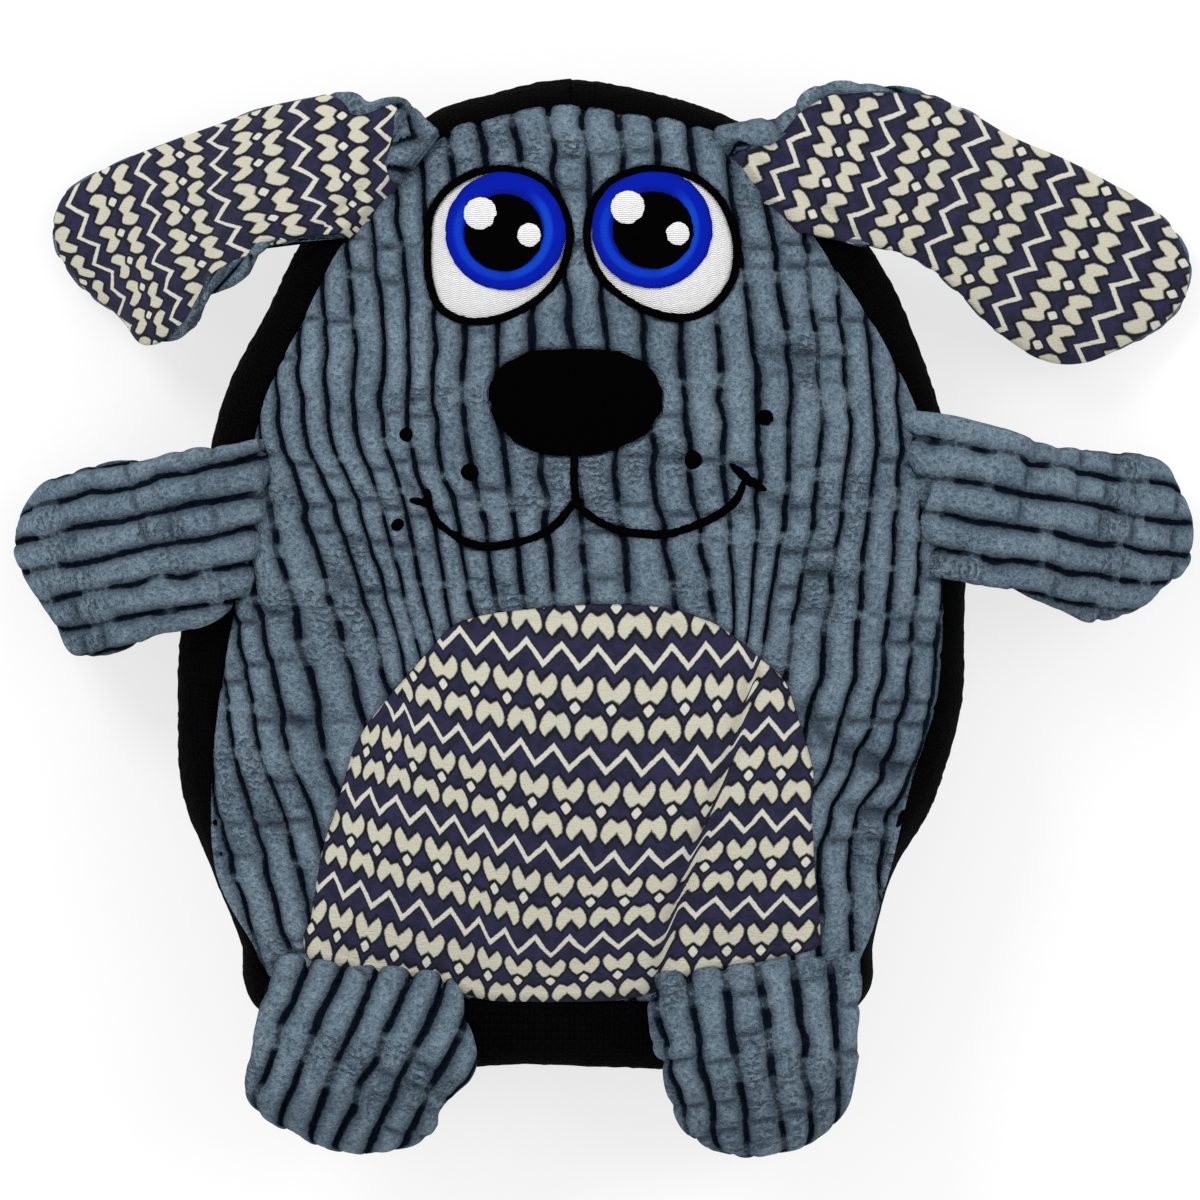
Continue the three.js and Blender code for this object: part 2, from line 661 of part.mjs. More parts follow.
function addSqueaker(name, centreY) {
  const half = squeakerHeight / 2;
  const baseTop = squeakerDiscThickness - half;
  const topLow = half - squeakerDiscThickness;
  const plugHole = reedPlugRadius + clearance;
  const base = [
    [plugHole, -half], [squeakerRadius, -half], [squeakerRadius, baseTop], [plugHole, baseTop],
    [plugHole, -half],
  ];
  const top = [
    [0, topLow], [squeakerRadius, topLow], [squeakerRadius, half], [squeakerRadius / 2, half],
    [0, half - squeakerDimple],
  ];
  const ribs = Array.from({ length: 2 * squeakerRibCount + 1 }, (_, k) => [
    squeakerRadius - (k % 2) * squeakerRibDepth,
    baseTop + clearance + ((topLow - baseTop - 2 * clearance) * k) / (2 * squeakerRibCount),
  ]);
  const inside = ribs.map(([r, z]) => [r - squeakerWall, z]).reverse();
  const flangeLow = baseTop + clearance;
  const plug = [
    [reedBoreRadius, -half], [reedPlugRadius, -half], [reedPlugRadius, flangeLow],
    [reedFlangeRadius, flangeLow],
    [reedFlangeRadius, flangeLow + reedFlangeThickness], [reedBoreRadius, flangeLow + reedFlangeThickness],
    [reedBoreRadius, -half],
  ];
  addPiece(`${name}_squeaker_base`, revolve(base, centreY), squeakerPlastic);
  addPiece(`${name}_squeaker_bellows`, revolve([...ribs, ...inside, ribs[0]], centreY), squeakerPlastic);
  addPiece(`${name}_squeaker_top`, revolve(top, centreY), squeakerPlastic);
  addPiece(`${name}_squeaker_reed_plug`, revolve(plug, centreY), squeakerPlastic);
}

addPanels();
addGusset();
addFillings();
addBellyPatch();
addEye("left_eye", -1);
addEye("right_eye", 1);
addNose();
addMouth();
addWhiskerDots();
limbs.forEach(addLimb);
addSqueaker("head", headSqueakerY);
addSqueaker("belly", bellySqueakerY);

export default toy;
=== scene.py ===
"""A stuffed puppy dog toy of wide-wale plush, lying on its back on a pale floor."""

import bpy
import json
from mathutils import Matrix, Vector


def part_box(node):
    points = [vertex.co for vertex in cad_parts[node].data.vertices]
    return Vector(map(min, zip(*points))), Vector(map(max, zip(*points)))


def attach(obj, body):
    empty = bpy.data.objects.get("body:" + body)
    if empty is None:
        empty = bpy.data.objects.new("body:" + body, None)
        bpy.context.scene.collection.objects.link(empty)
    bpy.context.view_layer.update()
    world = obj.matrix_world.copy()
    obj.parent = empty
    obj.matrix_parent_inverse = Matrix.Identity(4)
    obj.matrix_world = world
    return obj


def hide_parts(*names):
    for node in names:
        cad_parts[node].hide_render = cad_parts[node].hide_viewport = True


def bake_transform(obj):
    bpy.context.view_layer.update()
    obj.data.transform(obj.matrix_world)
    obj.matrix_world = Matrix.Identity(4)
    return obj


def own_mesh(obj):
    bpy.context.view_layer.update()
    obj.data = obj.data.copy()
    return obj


bl_info = {
    "name": "Plush Puppy Dog Toy",
    "version": (1, 0, 0),
    "blender": (4, 5, 0),
    "location": "View3D > Sidebar > Dog Toy",
    "description": "Builds a wide-wale plush puppy with an embroidered face and a printed belly",
    "category": "Add Mesh",
}

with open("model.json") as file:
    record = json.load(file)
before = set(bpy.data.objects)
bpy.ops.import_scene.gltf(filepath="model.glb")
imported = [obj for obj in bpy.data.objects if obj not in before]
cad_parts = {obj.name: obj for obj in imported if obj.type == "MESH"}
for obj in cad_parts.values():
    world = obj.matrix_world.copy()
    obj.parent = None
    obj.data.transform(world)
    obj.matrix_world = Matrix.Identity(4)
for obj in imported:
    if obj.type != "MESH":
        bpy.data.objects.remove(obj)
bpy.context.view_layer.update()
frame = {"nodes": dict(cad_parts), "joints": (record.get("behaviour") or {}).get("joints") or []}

import json
import math

import bmesh
import bpy
import numpy as np
from bpy.props import FloatProperty, FloatVectorProperty, PointerProperty
from bpy.types import Operator, Panel, PropertyGroup
from mathutils import Vector

MM = 0.001
FULL_TURN = 2 * math.pi


def linear(red, green, blue):
    """A colour given as the eye sees it, 0 to 255, as the linear values that a shader takes."""
    shares = [c / 255 for c in (red, green, blue)]
    return tuple(c / 12.92 if c <= 0.04045 else ((c + 0.055) / 1.055) ** 2.4 for c in shares)


# Sizes and colours that a user would change


def size_setting(name, description, millimetres):
    return FloatProperty(name=name, description=description, default=millimetres * MM, unit="LENGTH")


def colour_setting(name, description, *shades):
    default = linear(*shades)
    return FloatVectorProperty(name=name, description=description, default=default, size=3, subtype="COLOR")


class ToyShape(PropertyGroup):
    """Sizes of the body and its plush."""

    body_half_width: size_setting("Body Half Width", "Half of the width between the seams", 81)
    body_half_height: size_setting("Body Half Height", "Half of the height between the seams", 97)
    body_centre_y: size_setting("Body Centre", "Place of the middle of the body", 10.7)
    front_seam_z: size_setting("Front Seam Height", "Height of the front seam", 40)
    back_seam_z: size_setting("Back Seam Height", "Height of the back seam", 12)
    front_crown: size_setting("Front Crown", "Rise of the front above its seam", 17)
    back_crown: size_setting("Back Crown", "Fall of the back below its seam", 15)
    gusset_bulge: size_setting("Gusset Bulge", "How far the side stands out past the seams", 9)
    wale_pitch: size_setting("Wale Pitch", "Distance between the ribs of the plush", 7.5)
    wale_height: size_setting("Wale Height", "Height of a rib above the ground of the cloth", 2.6)


class ToyColours(PropertyGroup):
    """Colours of the cloths and threads."""

    plush: colour_setting("Plush", "Colour of the pile", 71, 89, 103)
    plush_light: colour_setting("Plush Light", "Pile that leans to the light", 132, 150, 164)
    groove: colour_setting("Groove", "Ground cloth between the ribs", 12, 19, 33)
    webbing: colour_setting("Webbing", "Black side band", 7, 7, 8)
    print_navy: colour_setting("Print Navy", "Ground of the print", 41, 39, 67)
    print_cream: colour_setting("Print Cream", "Figures of the print", 202, 199, 182)
    print_dark: colour_setting("Print Dark", "Lines round the figures", 16, 16, 26)
    white_thread: colour_setting("White Thread", "White of the eyes", 255, 255, 255)
    blue_thread: colour_setting("Blue Thread", "Iris", 3, 26, 160)
    black_thread: colour_setting("Black Thread", "Nose, mouth and eye lines", 3, 3, 3)


# Curves and noise


def curve_between(a, b, c, d, t):
    """A smooth curve from b to c, which leans at its ends towards the neighbours a and d."""
    return 0.5 * (2 * b + (c - a) * t + (2 * a - 5 * b + 4 * c - d) * t**2 + (3 * b - a - 3 * c + d) * t**3)


def closed_curve(points, steps):
    """Evenly numbered points of a smooth closed curve through the given ones."""
    points = np.asarray(points, float)
    count = len(points)
    turn = np.arange(steps) * count / steps
    i = turn.astype(int)
    return curve_between(*(points[(i + k) % count] for k in (-1, 0, 1, 2)), (turn - i)[:, None])


def open_curve(points, steps):
    """Points at even distances along a smooth open curve through the given ones."""
    points = np.asarray(points, float)
    padded = np.vstack([2 * points[0] - points[1], points, 2 * points[-1] - points[-2]])
    turn = np.linspace(0, len(points) - 1, 40 * len(points))
    i = np.minimum(turn.astype(int), len(points) - 2)
    fine = curve_between(*(padded[i + k] for k in range(4)), (turn - i)[:, None])
    length = distances_along(fine)
    at = np.linspace(0, length[-1], steps)
    return np.stack([np.interp(at, length, fine[:, k]) for k in range(fine.shape[1])], axis=1)


def distances_along(points):
    """How far along a line of points each of them is."""
    return np.concatenate([[0], np.cumsum(np.linalg.norm(np.diff(points, axis=0), axis=1))])


def directions_along(points, closed):
    """The way that a line of points runs at each of them."""
    tangent = np.gradient(points, axis=0)
    if closed:
        tangent[0] = tangent[-1] = points[1] - points[-2]
    return tangent / np.linalg.norm(tangent, axis=1, keepdims=True)


def left_of(directions):
    return np.stack([-directions[:, 1], directions[:, 0]], -1)


def around(centre, distance, angle):
    """Places at a distance from a centre, in a direction."""
    return centre[0] + distance * np.cos(angle), centre[1] + distance * np.sin(angle)


def signed_area(points):
    """The area inside a closed line of points, below 0 where they run clockwise."""
    ahead = np.roll(points, -1, axis=0)
    return np.sum(points[:, 0] * ahead[:, 1] - ahead[:, 0] * points[:, 1]) / 2


def ease(share):
    """From 0 to 1, level at both ends."""
    return share * share * (3 - 2 * share)


def smooth(low, high, value):
    """0 before low and 1 past high, with a smooth way between; low may be the larger of the two."""
    return ease(np.clip((value - low) / (high - low), 0, 1))


def sloped(t, start, end, start_slope, end_slope):
    """From start to end as t goes from 0 to 1, with the given slopes there."""
    return (
        start * (1 + 2 * t) * (1 - t) ** 2 + start_slope * t * (1 - t) ** 2
        + end * t**2 * (3 - 2 * t) + end_slope * t**2 * (t - 1)
    )


def bell(distance, half_width):
    """1 at no distance, falling softly to nearly 0 at twice the half width."""
    return np.exp(-((distance / half_width) ** 2))


class Noise:
    """Smooth random values over a plane, the same each run."""

    SIZE = 64

    def __init__(self, seed):
        self.table = np.random.default_rng(seed).uniform(-1, 1, (self.SIZE, self.SIZE))

    def corner(self, i, j):
        return self.table[i % self.SIZE, j % self.SIZE]

    def __call__(self, x, y):
        i, j = np.floor(x).astype(int), np.floor(y).astype(int)
        a, b = ease(x - i), ease(y - j)
        low = self.corner(i, j) * (1 - a) + self.corner(i + 1, j) * a
        high = self.corner(i, j + 1) * (1 - a) + self.corner(i + 1, j + 1) * a
        return low * (1 - b) + high * b


pinch_noise = Noise(11)
lump_noise = Noise(12)
sway_noise = Noise(13)
spread_noise = Noise(14)
crush_noise = Noise(15)
stuffing_noise = Noise(21)
edge_noise = Noise(22)


class Outline:
    """A closed outline seen from a point inside it, as a distance in each direction."""

    def __init__(self, points, centre):
        self.centre = np.asarray(centre, float)
        offset = np.asarray(points, float) - self.centre
        self.angle = np.arctan2(offset[:, 1], offset[:, 0])
        self.radius = np.linalg.norm(offset, axis=1)

    def reach(self, angle):
        return np.interp(angle, self.angle, self.radius, period=FULL_TURN)

    def share(self, x, y):
        """0 at the middle, 1 on the outline."""
        dx, dy = x - self.centre[0], y - self.centre[1]
        return np.hypot(dx, dy) / self.reach(np.arctan2(dy, dx))


# The photograph's pixels, and the place of each in the toy's frame

PIXEL = 0.22 * MM
PHOTO_PIXELS = 1200
AXIS_COLUMN = 575
ORIGIN_ROW = 600
OVAL_STEPS = 240


def place_of(column, row):
    column, row = np.asarray(column, float), np.asarray(row, float)
    return np.stack([(column - AXIS_COLUMN) * PIXEL, (ORIGIN_ROW - row) * PIXEL], -1)


def places_of(pixels):
    return place_of(*np.array(pixels, float).T)


def pixel_of(x, y):
    return x / PIXEL + AXIS_COLUMN, ORIGIN_ROW - y / PIXEL


def outline_of(pixels, steps=360):
    points = closed_curve(places_of(pixels), steps)
    return Outline(points, points.mean(axis=0))


def round_outline(column, row, half_width, half_height=None):
    """A round or oval outline, given in pixels."""
    centre = place_of(column, row)
    turn = np.arange(OVAL_STEPS) * FULL_TURN / OVAL_STEPS
    halves = np.array([half_width, half_height or half_width]) * PIXEL
    return Outline(centre + np.stack([np.cos(turn), np.sin(turn)], -1) * halves, centre)


# Outlines on the face and belly, in pixels of the photograph

LEFT_EYE = (
    (428, 250), (431, 215), (449, 189), (478, 173), (510, 170), (540, 180), (561, 204), (570, 234),
    (565, 264), (550, 290), (524, 310), (495, 321), (466, 322), (441, 309), (430, 282),
)
RIGHT_EYE = (
    (587, 234), (594, 203), (614, 181), (645, 170), (680, 173), (706, 186), (725, 209), (736, 245),
    (733, 278), (717, 303), (695, 317), (668, 318), (636, 307), (608, 287), (592, 262),
)
# Round parts of the eyes: the middle, and half the width and height
EYES = {
    "left_eye": dict(
        outline=LEFT_EYE, iris=(506, 232, 60), pupil=(504, 234, 39, 39),
        large_glint=(481, 215, 16.5), small_glint=(529, 236.5, 12),
    ),
    "right_eye": dict(
        outline=RIGHT_EYE, iris=(652, 230, 60), pupil=(653, 231.5, 40, 39),
        large_glint=(628, 209, 17), small_glint=(677, 235, 12),
    ),
}
NOSE = (
    (490, 398), (497, 375), (517, 358), (545, 351), (580, 350), (612, 352), (640, 362), (658, 380),
    (662, 402), (655, 422), (638, 440), (610, 452), (580, 457), (550, 456), (520, 445), (500, 426),
)
PATCH = (
    (304, 936), (312, 916), (324, 849), (344, 786), (356, 746), (387, 699), (423, 659), (451, 628),
    (478, 616), (510, 611), (565, 606), (600, 604), (660, 607), (700, 618), (730, 634), (757, 656),
    (784, 682), (797, 718), (812, 766), (811, 817), (814, 865), (819, 930), (814, 948), (780, 957),
    (700, 975), (655, 992), (600, 1001), (500, 1002), (460, 992), (420, 980), (370, 974), (320, 962),
    (307, 955),
)
PATCH_CREASE = ((762, 632), (750, 690), (735, 745), (716, 800), (696, 850), (674, 915), (655, 990))
# Lines of the mouth: half the width, how much of each end tapers, and the way
MOUTH_LINES = (
    (4.0, 0.1, ((575, 448), (574, 475), (576, 505))),
    (4.1, 0.12, (
        (578, 499), (567, 512), (557, 524), (541, 535), (524, 541), (491, 547), (469, 543), (450, 532),
        (437, 521), (430, 506),
    )),
    (4.1, 0.12, (
        (572, 499), (583, 511), (600, 523), (620, 531), (640, 534), (669, 534), (705, 522), (728, 508),
        (739, 494), (743, 480),
    )),
    (3.8, 0.6, ((410, 501), (419, 502), (426, 504), (433, 507))),
    (3.6, 0.5, ((427, 489), (429, 495), (430, 501), (431, 507))),
    (5.4, 1.4, ((729, 464), (737, 471), (744, 477), (753, 484), (766, 491))),
)
# Whisker dots: the middle and half the width and height
WHISKER_DOTS = (
    (407, 436, 7.5, 8), (470, 473, 9.5, 9), (398, 525, 7.5, 8), (765, 418, 8, 8.5), (693, 461, 8.5, 10.5),
)

# Folds in the plush of the front: the ends in pixels, the half width in millimetres and the depth
FOLDS = (
    (830, 742, 905, 775, 2.2, 2.2), (795, 700, 830, 745, 2.0, 1.6), (820, 800, 900, 822, 2.2, 1.4),
    (262, 700, 330, 742, 2.0, 1.3), (250, 800, 300, 840, 1.8, 1.0), (745, 485, 800, 520, 2.0, 1.2),
    (395, 470, 425, 500, 2.0, 1.2), (300, 560, 360, 590, 2.0, 1.0), (790, 560, 870, 590, 2.0, 1.0),
    (575, 505, 576, 585, 2.4, 1.1), (330, 405, 395, 430, 2.0, 0.9), (760, 350, 830, 372, 2.0, 0.9),
)


def fold_depth(x, y, folds):
    """How deep the folds press a surface in."""
    depth = np.zeros_like(x)
    for ax, ay, bx, by, width, deep in folds:
        a, b = place_of(ax, ay), place_of(bx, by)
        along = b - a
        t = np.clip(((x - a[0]) * along[0] + (y - a[1]) * along[1]) / (along @ along), 0, 1)
        away = np.hypot(x - a[0] - t * along[0], y - a[1] - t * along[1])
        depth += deep * MM * bell(away, width * MM) * (1 - 0.7 * np.abs(2 * t - 1) ** 3)
    return depth


# The body

# The body's outline: shares of its half width and half height, clockwise from the top of the head,
# the share of the gusset's bulge there, and how many millimetres the front's plush hangs over it
BODY_OUTLINE_SHARES = (
    (-0.01, 1.0, 0.76, 0), (0.2, 0.98, 0.69, 0), (0.4, 0.93, 0.67, 0), (0.56, 0.81, 1.0, 0),
    (0.69, 0.66, 1.11, 0), (0.84, 0.47, 0.78, 0), (0.94, 0.29, 0.58, 0), (1.0, 0.07, 0.54, 0),
    (1.0, -0.13, 0.54, 0), (0.98, -0.34, 0.62, 0), (0.915, -0.52, 0.74, 0), (0.835, -0.71, 0.33, 2.3),
    (0.78, -0.88, 0.3, 1.6), (0.71, -0.98, 0.85, 0), (0.45, -1.01, 1.67, 0), (-0.04, -1.02, 1.67, 0),
    (-0.56, -1.0, 1.67, 0), (-0.8, -0.98, 0.9, 0), (-0.875, -0.88, 0.37, 0.6), (-0.95, -0.72, 0.36, 2.4),
    (-0.98, -0.54, 0.78, 0.8), (-0.965, -0.34, 1.12, 0), (-0.92, -0.11, 1.24, 0), (-0.89, 0.09, 1.18, 0),
    (-0.85, 0.32, 1.06, 0), (-0.74, 0.52, 0.98, 0), (-0.61, 0.72, 0.89, 0), (-0.38, 0.92, 0.73, 0),
    (-0.2, 0.98, 0.72, 0),
)
BODY_STEPS = 1160
CROWN_FALL = 2.2
CROWN_ROUND = 0.75
STUFFING_SPAN = 34 * MM
STUFFING_RISE = 1.1 * MM


def crown_rise(share):
    """Height of a crowned panel from its middle, 1, to its seam, 0."""
    return np.clip(1 - np.clip(share, 0, 1) ** CROWN_FALL, 0, 1) ** CROWN_ROUND


class Toy:
    """The body's form: its seam, the crown of its front and back, and what is sewn on the front."""

    def __init__(self, shape):
        self.shape = shape
        self.centre = np.array([0.0, shape.body_centre_y])
        table = np.array(BODY_OUTLINE_SHARES)
        plan = table[:, :2] * [shape.body_half_width, shape.body_half_height] + self.centre
        seam = np.column_stack([plan, table[:, 2] * shape.gusset_bulge, table[:, 3] * MM])
        rows = closed_curve(seam, BODY_STEPS)
        self.points, self.bulge, self.overhang = rows[:, :2], rows[:, 2], rows[:, 3]
        self.outline = Outline(self.points, self.centre)
        self.patch = outline_of(PATCH, 720)
        self.eyes = [outline_of(eye["outline"]) for eye in EYES.values()]
        self.nose = outline_of(NOSE)

    def over(self, angle):
        """How far the front's plush hangs over the side in a direction."""
        return np.interp(angle, self.outline.angle, self.overhang, period=FULL_TURN)

    def stuffed_z(self, x, y):
        """Height of the front, with the lumps of its filling."""
        share = self.outline.share(x, y)
        lump = stuffing_noise(x / STUFFING_SPAN + 7, y / STUFFING_SPAN + 3) * STUFFING_RISE
        crown = self.shape.front_seam_z + self.shape.front_crown * crown_rise(share)
        return crown + lump * smooth(1, 0.8, share)

    def back_z(self, x, y):
        """Height of the back, which is flat where it lies on the floor."""
        fall = self.shape.back_crown * crown_rise(self.outline.share(x, y))
        return np.maximum(0, self.shape.back_seam_z - fall)

    def pressed(self, x, y):
        """1 where something is sewn on the plush."""
        press = smooth(1.02, 0.985, self.patch.share(x, y))
        for eye in self.eyes:
            press = np.maximum(press, smooth(1.07, 0.99, eye.share(x, y)))
        return np.maximum(press, smooth(1.1, 0.97, self.nose.share(x, y)))


# The ribs of the plush

# How the ribs of the front run: the column of every third groove at each row of pixels
RIB_ROWS = (120, 230, 330, 430, 530, 620, 700, 760, 820, 950)
RIB_STEP = 3
RIB_NUMBERS = (-15, -12, -9, -6, -3, 0, 3, 6, 9, 12, 15)
RIB_COLUMNS = (
    (50, 150, 250, 350, 448, 549, 652, 755, 850, 950, 1050),
    (100, 195, 285, 372, 457, 560, 665, 770, 862, 950, 1040),
    (140, 220, 298, 385, 464, 571, 679, 784, 866, 945, 1030),
    (160, 236, 306, 384, 466, 577, 687, 790, 875, 945, 1030),
    (175, 246, 343, 412, 486, 583, 698, 782, 866, 948, 1030),
    (192, 262, 372, 430, 502, 588, 712, 766, 857, 938, 1020),
    (203, 281, 392, 448, 515, 592, 712, 752, 848, 930, 1010),
    (212, 293, 404, 460, 525, 595, 710, 745, 828, 916, 1000),
    (222, 317, 414, 470, 530, 597, 700, 740, 800, 888, 975),
    (262, 345, 430, 480, 535, 600, 690, 735, 792, 880, 960),
)
CRUSH_SPAN = 11 * MM
CLOSING_SPAN = 3.4 * MM
PINCH_HALF = 0.75 * MM
WAIST_HALF = 1.6 * MM


def rib_coordinate(x, y):
    """The number of the groove at a place on the front, with whole numbers in the grooves."""
    column, row = pixel_of(x, y)
    knots = np.array(RIB_ROWS, float)
    table = np.array(RIB_COLUMNS, float)
    slopes = np.gradient(table, knots, axis=0)
    k = np.clip(np.searchsorted(knots, row) - 1, 0, len(knots) - 2)
    step = (knots[k + 1] - knots[k])[:, None]
    t = np.clip((row - knots[k])[:, None] / step, 0, 1)
    lines = sloped(t, table[k], table[k + 1], slopes[k] * step, slopes[k + 1] * step)

    numbers = np.array(RIB_NUMBERS, float)
    j = np.clip((lines < column[:, None]).sum(1) - 1, 0, len(numbers) - 2)
    pick = np.arange(len(column))
    left, right = lines[pick, j], lines[pick, j + 1]
    before, after = lines[pick, np.maximum(j - 1, 0)], lines[pick, np.minimum(j + 2, len(numbers) - 1)]
    steps_left = np.where(j > 0, 2, 1) * RIB_STEP
    steps_right = np.where(j + 2 < len(numbers), 2, 1) * RIB_STEP
    start_slope = steps_left / np.maximum(right - before, 1) * (right - left)
    end_slope = steps_right / np.maximum(after - left, 1) * (right - left)
    return sloped((column - left) / (right - left), numbers[j], numbers[j + 1], start_slope, end_slope)


def wavering(rib, along):
    """Rib numbers whose grooves waver a little."""
    return rib + 0.1 * sway_noise(rib * 0.8 + 3, along / (5.5 * MM))


def dents(number, along, spacing):
    """Distance to the nearest of the dents strewn along each rib, and how deep that one is."""
    cell = np.floor(along / spacing)
    nearest, depth = np.full_like(along, spacing), np.zeros_like(along)
    for near in (cell - 1, cell, cell + 1):
        place = (near + 0.5 + 0.42 * pinch_noise(number * 0.37 + 3.1, near)) * spacing
        away = np.abs(along - place)
        closer = away < nearest
        nearest = np.where(closer, away, nearest)
        depth = np.where(closer, smooth(-0.15, 0.35, lump_noise(number * 0.61 + 20, near * 0.7)), depth)
    return nearest, depth


def rib_relief(rib, along, flat=4.4, spacing=8.5 * MM, loose=0.0):
    """Height of the pile, 0 in a groove to about 1 on a rib, and its levels: how far it is pinched in,
    crushed, and spread over the groove. Loose pile is crushed and spread more."""
    number, groove = np.floor(rib), np.rint(rib)
    across = np.abs(2 * (rib - number) - 1)
    crushing = crush_noise(number * 0.53 + 8, along / CRUSH_SPAN)
    crushing_beside = crush_noise((groove - 0.5) * 0.53 + 8, along / CRUSH_SPAN)
    crush = smooth(0.22 - 1.5 * loose, 0.45 - loose, crushing)
    beside = smooth(0.22, 0.45, crushing_beside)
    closing = spread_noise(groove * 0.71 + 5, along / CLOSING_SPAN) + loose
    spread = smooth(0.4 - 0.3 * beside, 0.6 - 0.2 * beside, closing)
    crest = np.clip(1 - (1 - 0.7 * spread) * across**flat, 0, 1) ** 0.5
    away, deep = dents(number, along, spacing)
    pinch, waist = deep * bell(away, PINCH_HALF), deep * bell(away, WAIST_HALF)
    lumps = (
        0.09 * lump_noise(rib * 2.1 + 40, along / (3.1 * MM)) + 0.07 * sway_noise(rib * 1.1, along / (6 * MM))
        + crush * 0.12 * spread_noise(rib * 3.1, along / (1.6 * MM))
    )
    height = crest * (1 - 0.30 * pinch - 0.22 * waist - 0.08 * crush) + lumps * crest
    return height, {"pinch": pinch * crest, "crush": crush * crest, "spread": spread}


# Shader maths


class Value:
    """A number in a material, on which sums are written as in Python."""

    def __init__(self, shade, socket):
        self.shade, self.socket = shade, socket

    def __add__(self, other):
        return self.shade.maths("ADD", self, other)

    def __radd__(self, other):
        return self.shade.maths("ADD", other, self)

    def __sub__(self, other):
        return self.shade.maths("SUBTRACT", self, other)

    def __rsub__(self, other):
        return self.shade.maths("SUBTRACT", other, self)

    def __mul__(self, other):
        return self.shade.maths("MULTIPLY", self, other)

    def __rmul__(self, other):
        return self.shade.maths("MULTIPLY", other, self)

    def __truediv__(self, other):
        return self.shade.maths("DIVIDE", self, other)

    def power(self, other):
        return self.shade.maths("POWER", self, other)

    def least(self, other):
        return self.shade.maths("MINIMUM", self, other)

    def most(self, other):
        return self.shade.maths("MAXIMUM", self, other)

    def size(self):
        return self.shade.maths("ABSOLUTE", self)

    def sine(self):
        return self.shade.maths("SINE", self)

    def fract(self):
        return self.shade.maths("FRACT", self)

    def ridge(self):
        """1 at whole numbers, 0 halfway between them."""
        return (self.fract() * 2 - 1).size()

    def step(self, low, high):
        """0 below low, 1 above high, smooth between; falls instead where high is below low."""
        if high < low:
            return 1 - self.step(high, low)
        node = self.shade.node(
            "ShaderNodeMapRange", {"interpolation_type": "SMOOTHSTEP"},
            {"Value": self, "From Min": low, "From Max": high},
        )
        return Value(self.shade, node.outputs["Result"])


class Shade:
    """A material being made, with one method that adds any node."""

    def __init__(self, name):
        self.material = bpy.data.materials.new(name)
        self.material.use_nodes = True
        self.nodes = self.material.node_tree.nodes
        self.links = self.material.node_tree.links
        self.surface = self.nodes["Principled BSDF"]

    def node(self, kind, settings=None, inputs=None):
        """Adds a node, sets it up, and gives its sockets their values or links."""
        node = self.nodes.new(kind)
        for key, value in (settings or {}).items():
            setattr(node, key, value)
        for key, value in (inputs or {}).items():
            self.feed(node.inputs[key], value)
        return node

    def feed(self, socket, value):
        """Links a value to a socket, or sets the socket to a plain number or colour."""
        if isinstance(value, Value):
            self.links.new(value.socket, socket)
        elif isinstance(value, bpy.types.NodeSocket):
            self.links.new(value, socket)
        elif socket.type == "RGBA" and len(value) == 3:
            socket.default_value = (*value, 1)
        else:
            socket.default_value = value

    def maths(self, operation, *values):
        node = self.node("ShaderNodeMath", {"operation": operation}, dict(enumerate(values)))
        return Value(self, node.outputs[0])

    def mix(self, share, first, second):
        return self.node("ShaderNodeMix", {"data_type": "RGBA"}, {0: share, 6: first, 7: second}).outputs[2]

    def place(self):
        return self.node("ShaderNodeTexCoord").outputs["Object"]

    def chart(self, name):
        """Both coordinates of one of the piece's own charts."""
        places = self.node("ShaderNodeUVMap", {"uv_map": name}).outputs[0]
        parts = self.node("ShaderNodeSeparateXYZ", None, {0: places})
        return Value(self, parts.outputs[0]), Value(self, parts.outputs[1])

    def level(self, name):
        return Value(self, self.node("ShaderNodeAttribute", {"attribute_name": name}).outputs["Fac"])

    def noise(self, scale, detail=2.0, rough=0.5, vector=None):
        node = self.node(
            "ShaderNodeTexNoise", None,
            {"Vector": vector or self.place(), "Scale": scale, "Detail": detail, "Roughness": rough},
        )
        return Value(self, node.outputs["Fac"])

    def threads(self, scales):
        """Noise that is drawn out where the scale along an axis is low."""
        stretched = self.node("ShaderNodeMapping", None, {"Vector": self.place(), "Scale": scales})
        return self.noise(1.0, 1, 0.5, stretched.outputs[0])

    def finish(self, inputs, height=None, relief=0.0):
        """Feeds the surface, and its bump where a height is given, with the relief of a height of 1."""
        for key, value in inputs.items():
            self.feed(self.surface.inputs[key], value)
        if height is not None:
            bump = self.node("ShaderNodeBump", None, {"Strength": 1.0, "Distance": relief, "Height": height})
            self.links.new(bump.outputs[0], self.surface.inputs["Normal"])
        return self.material
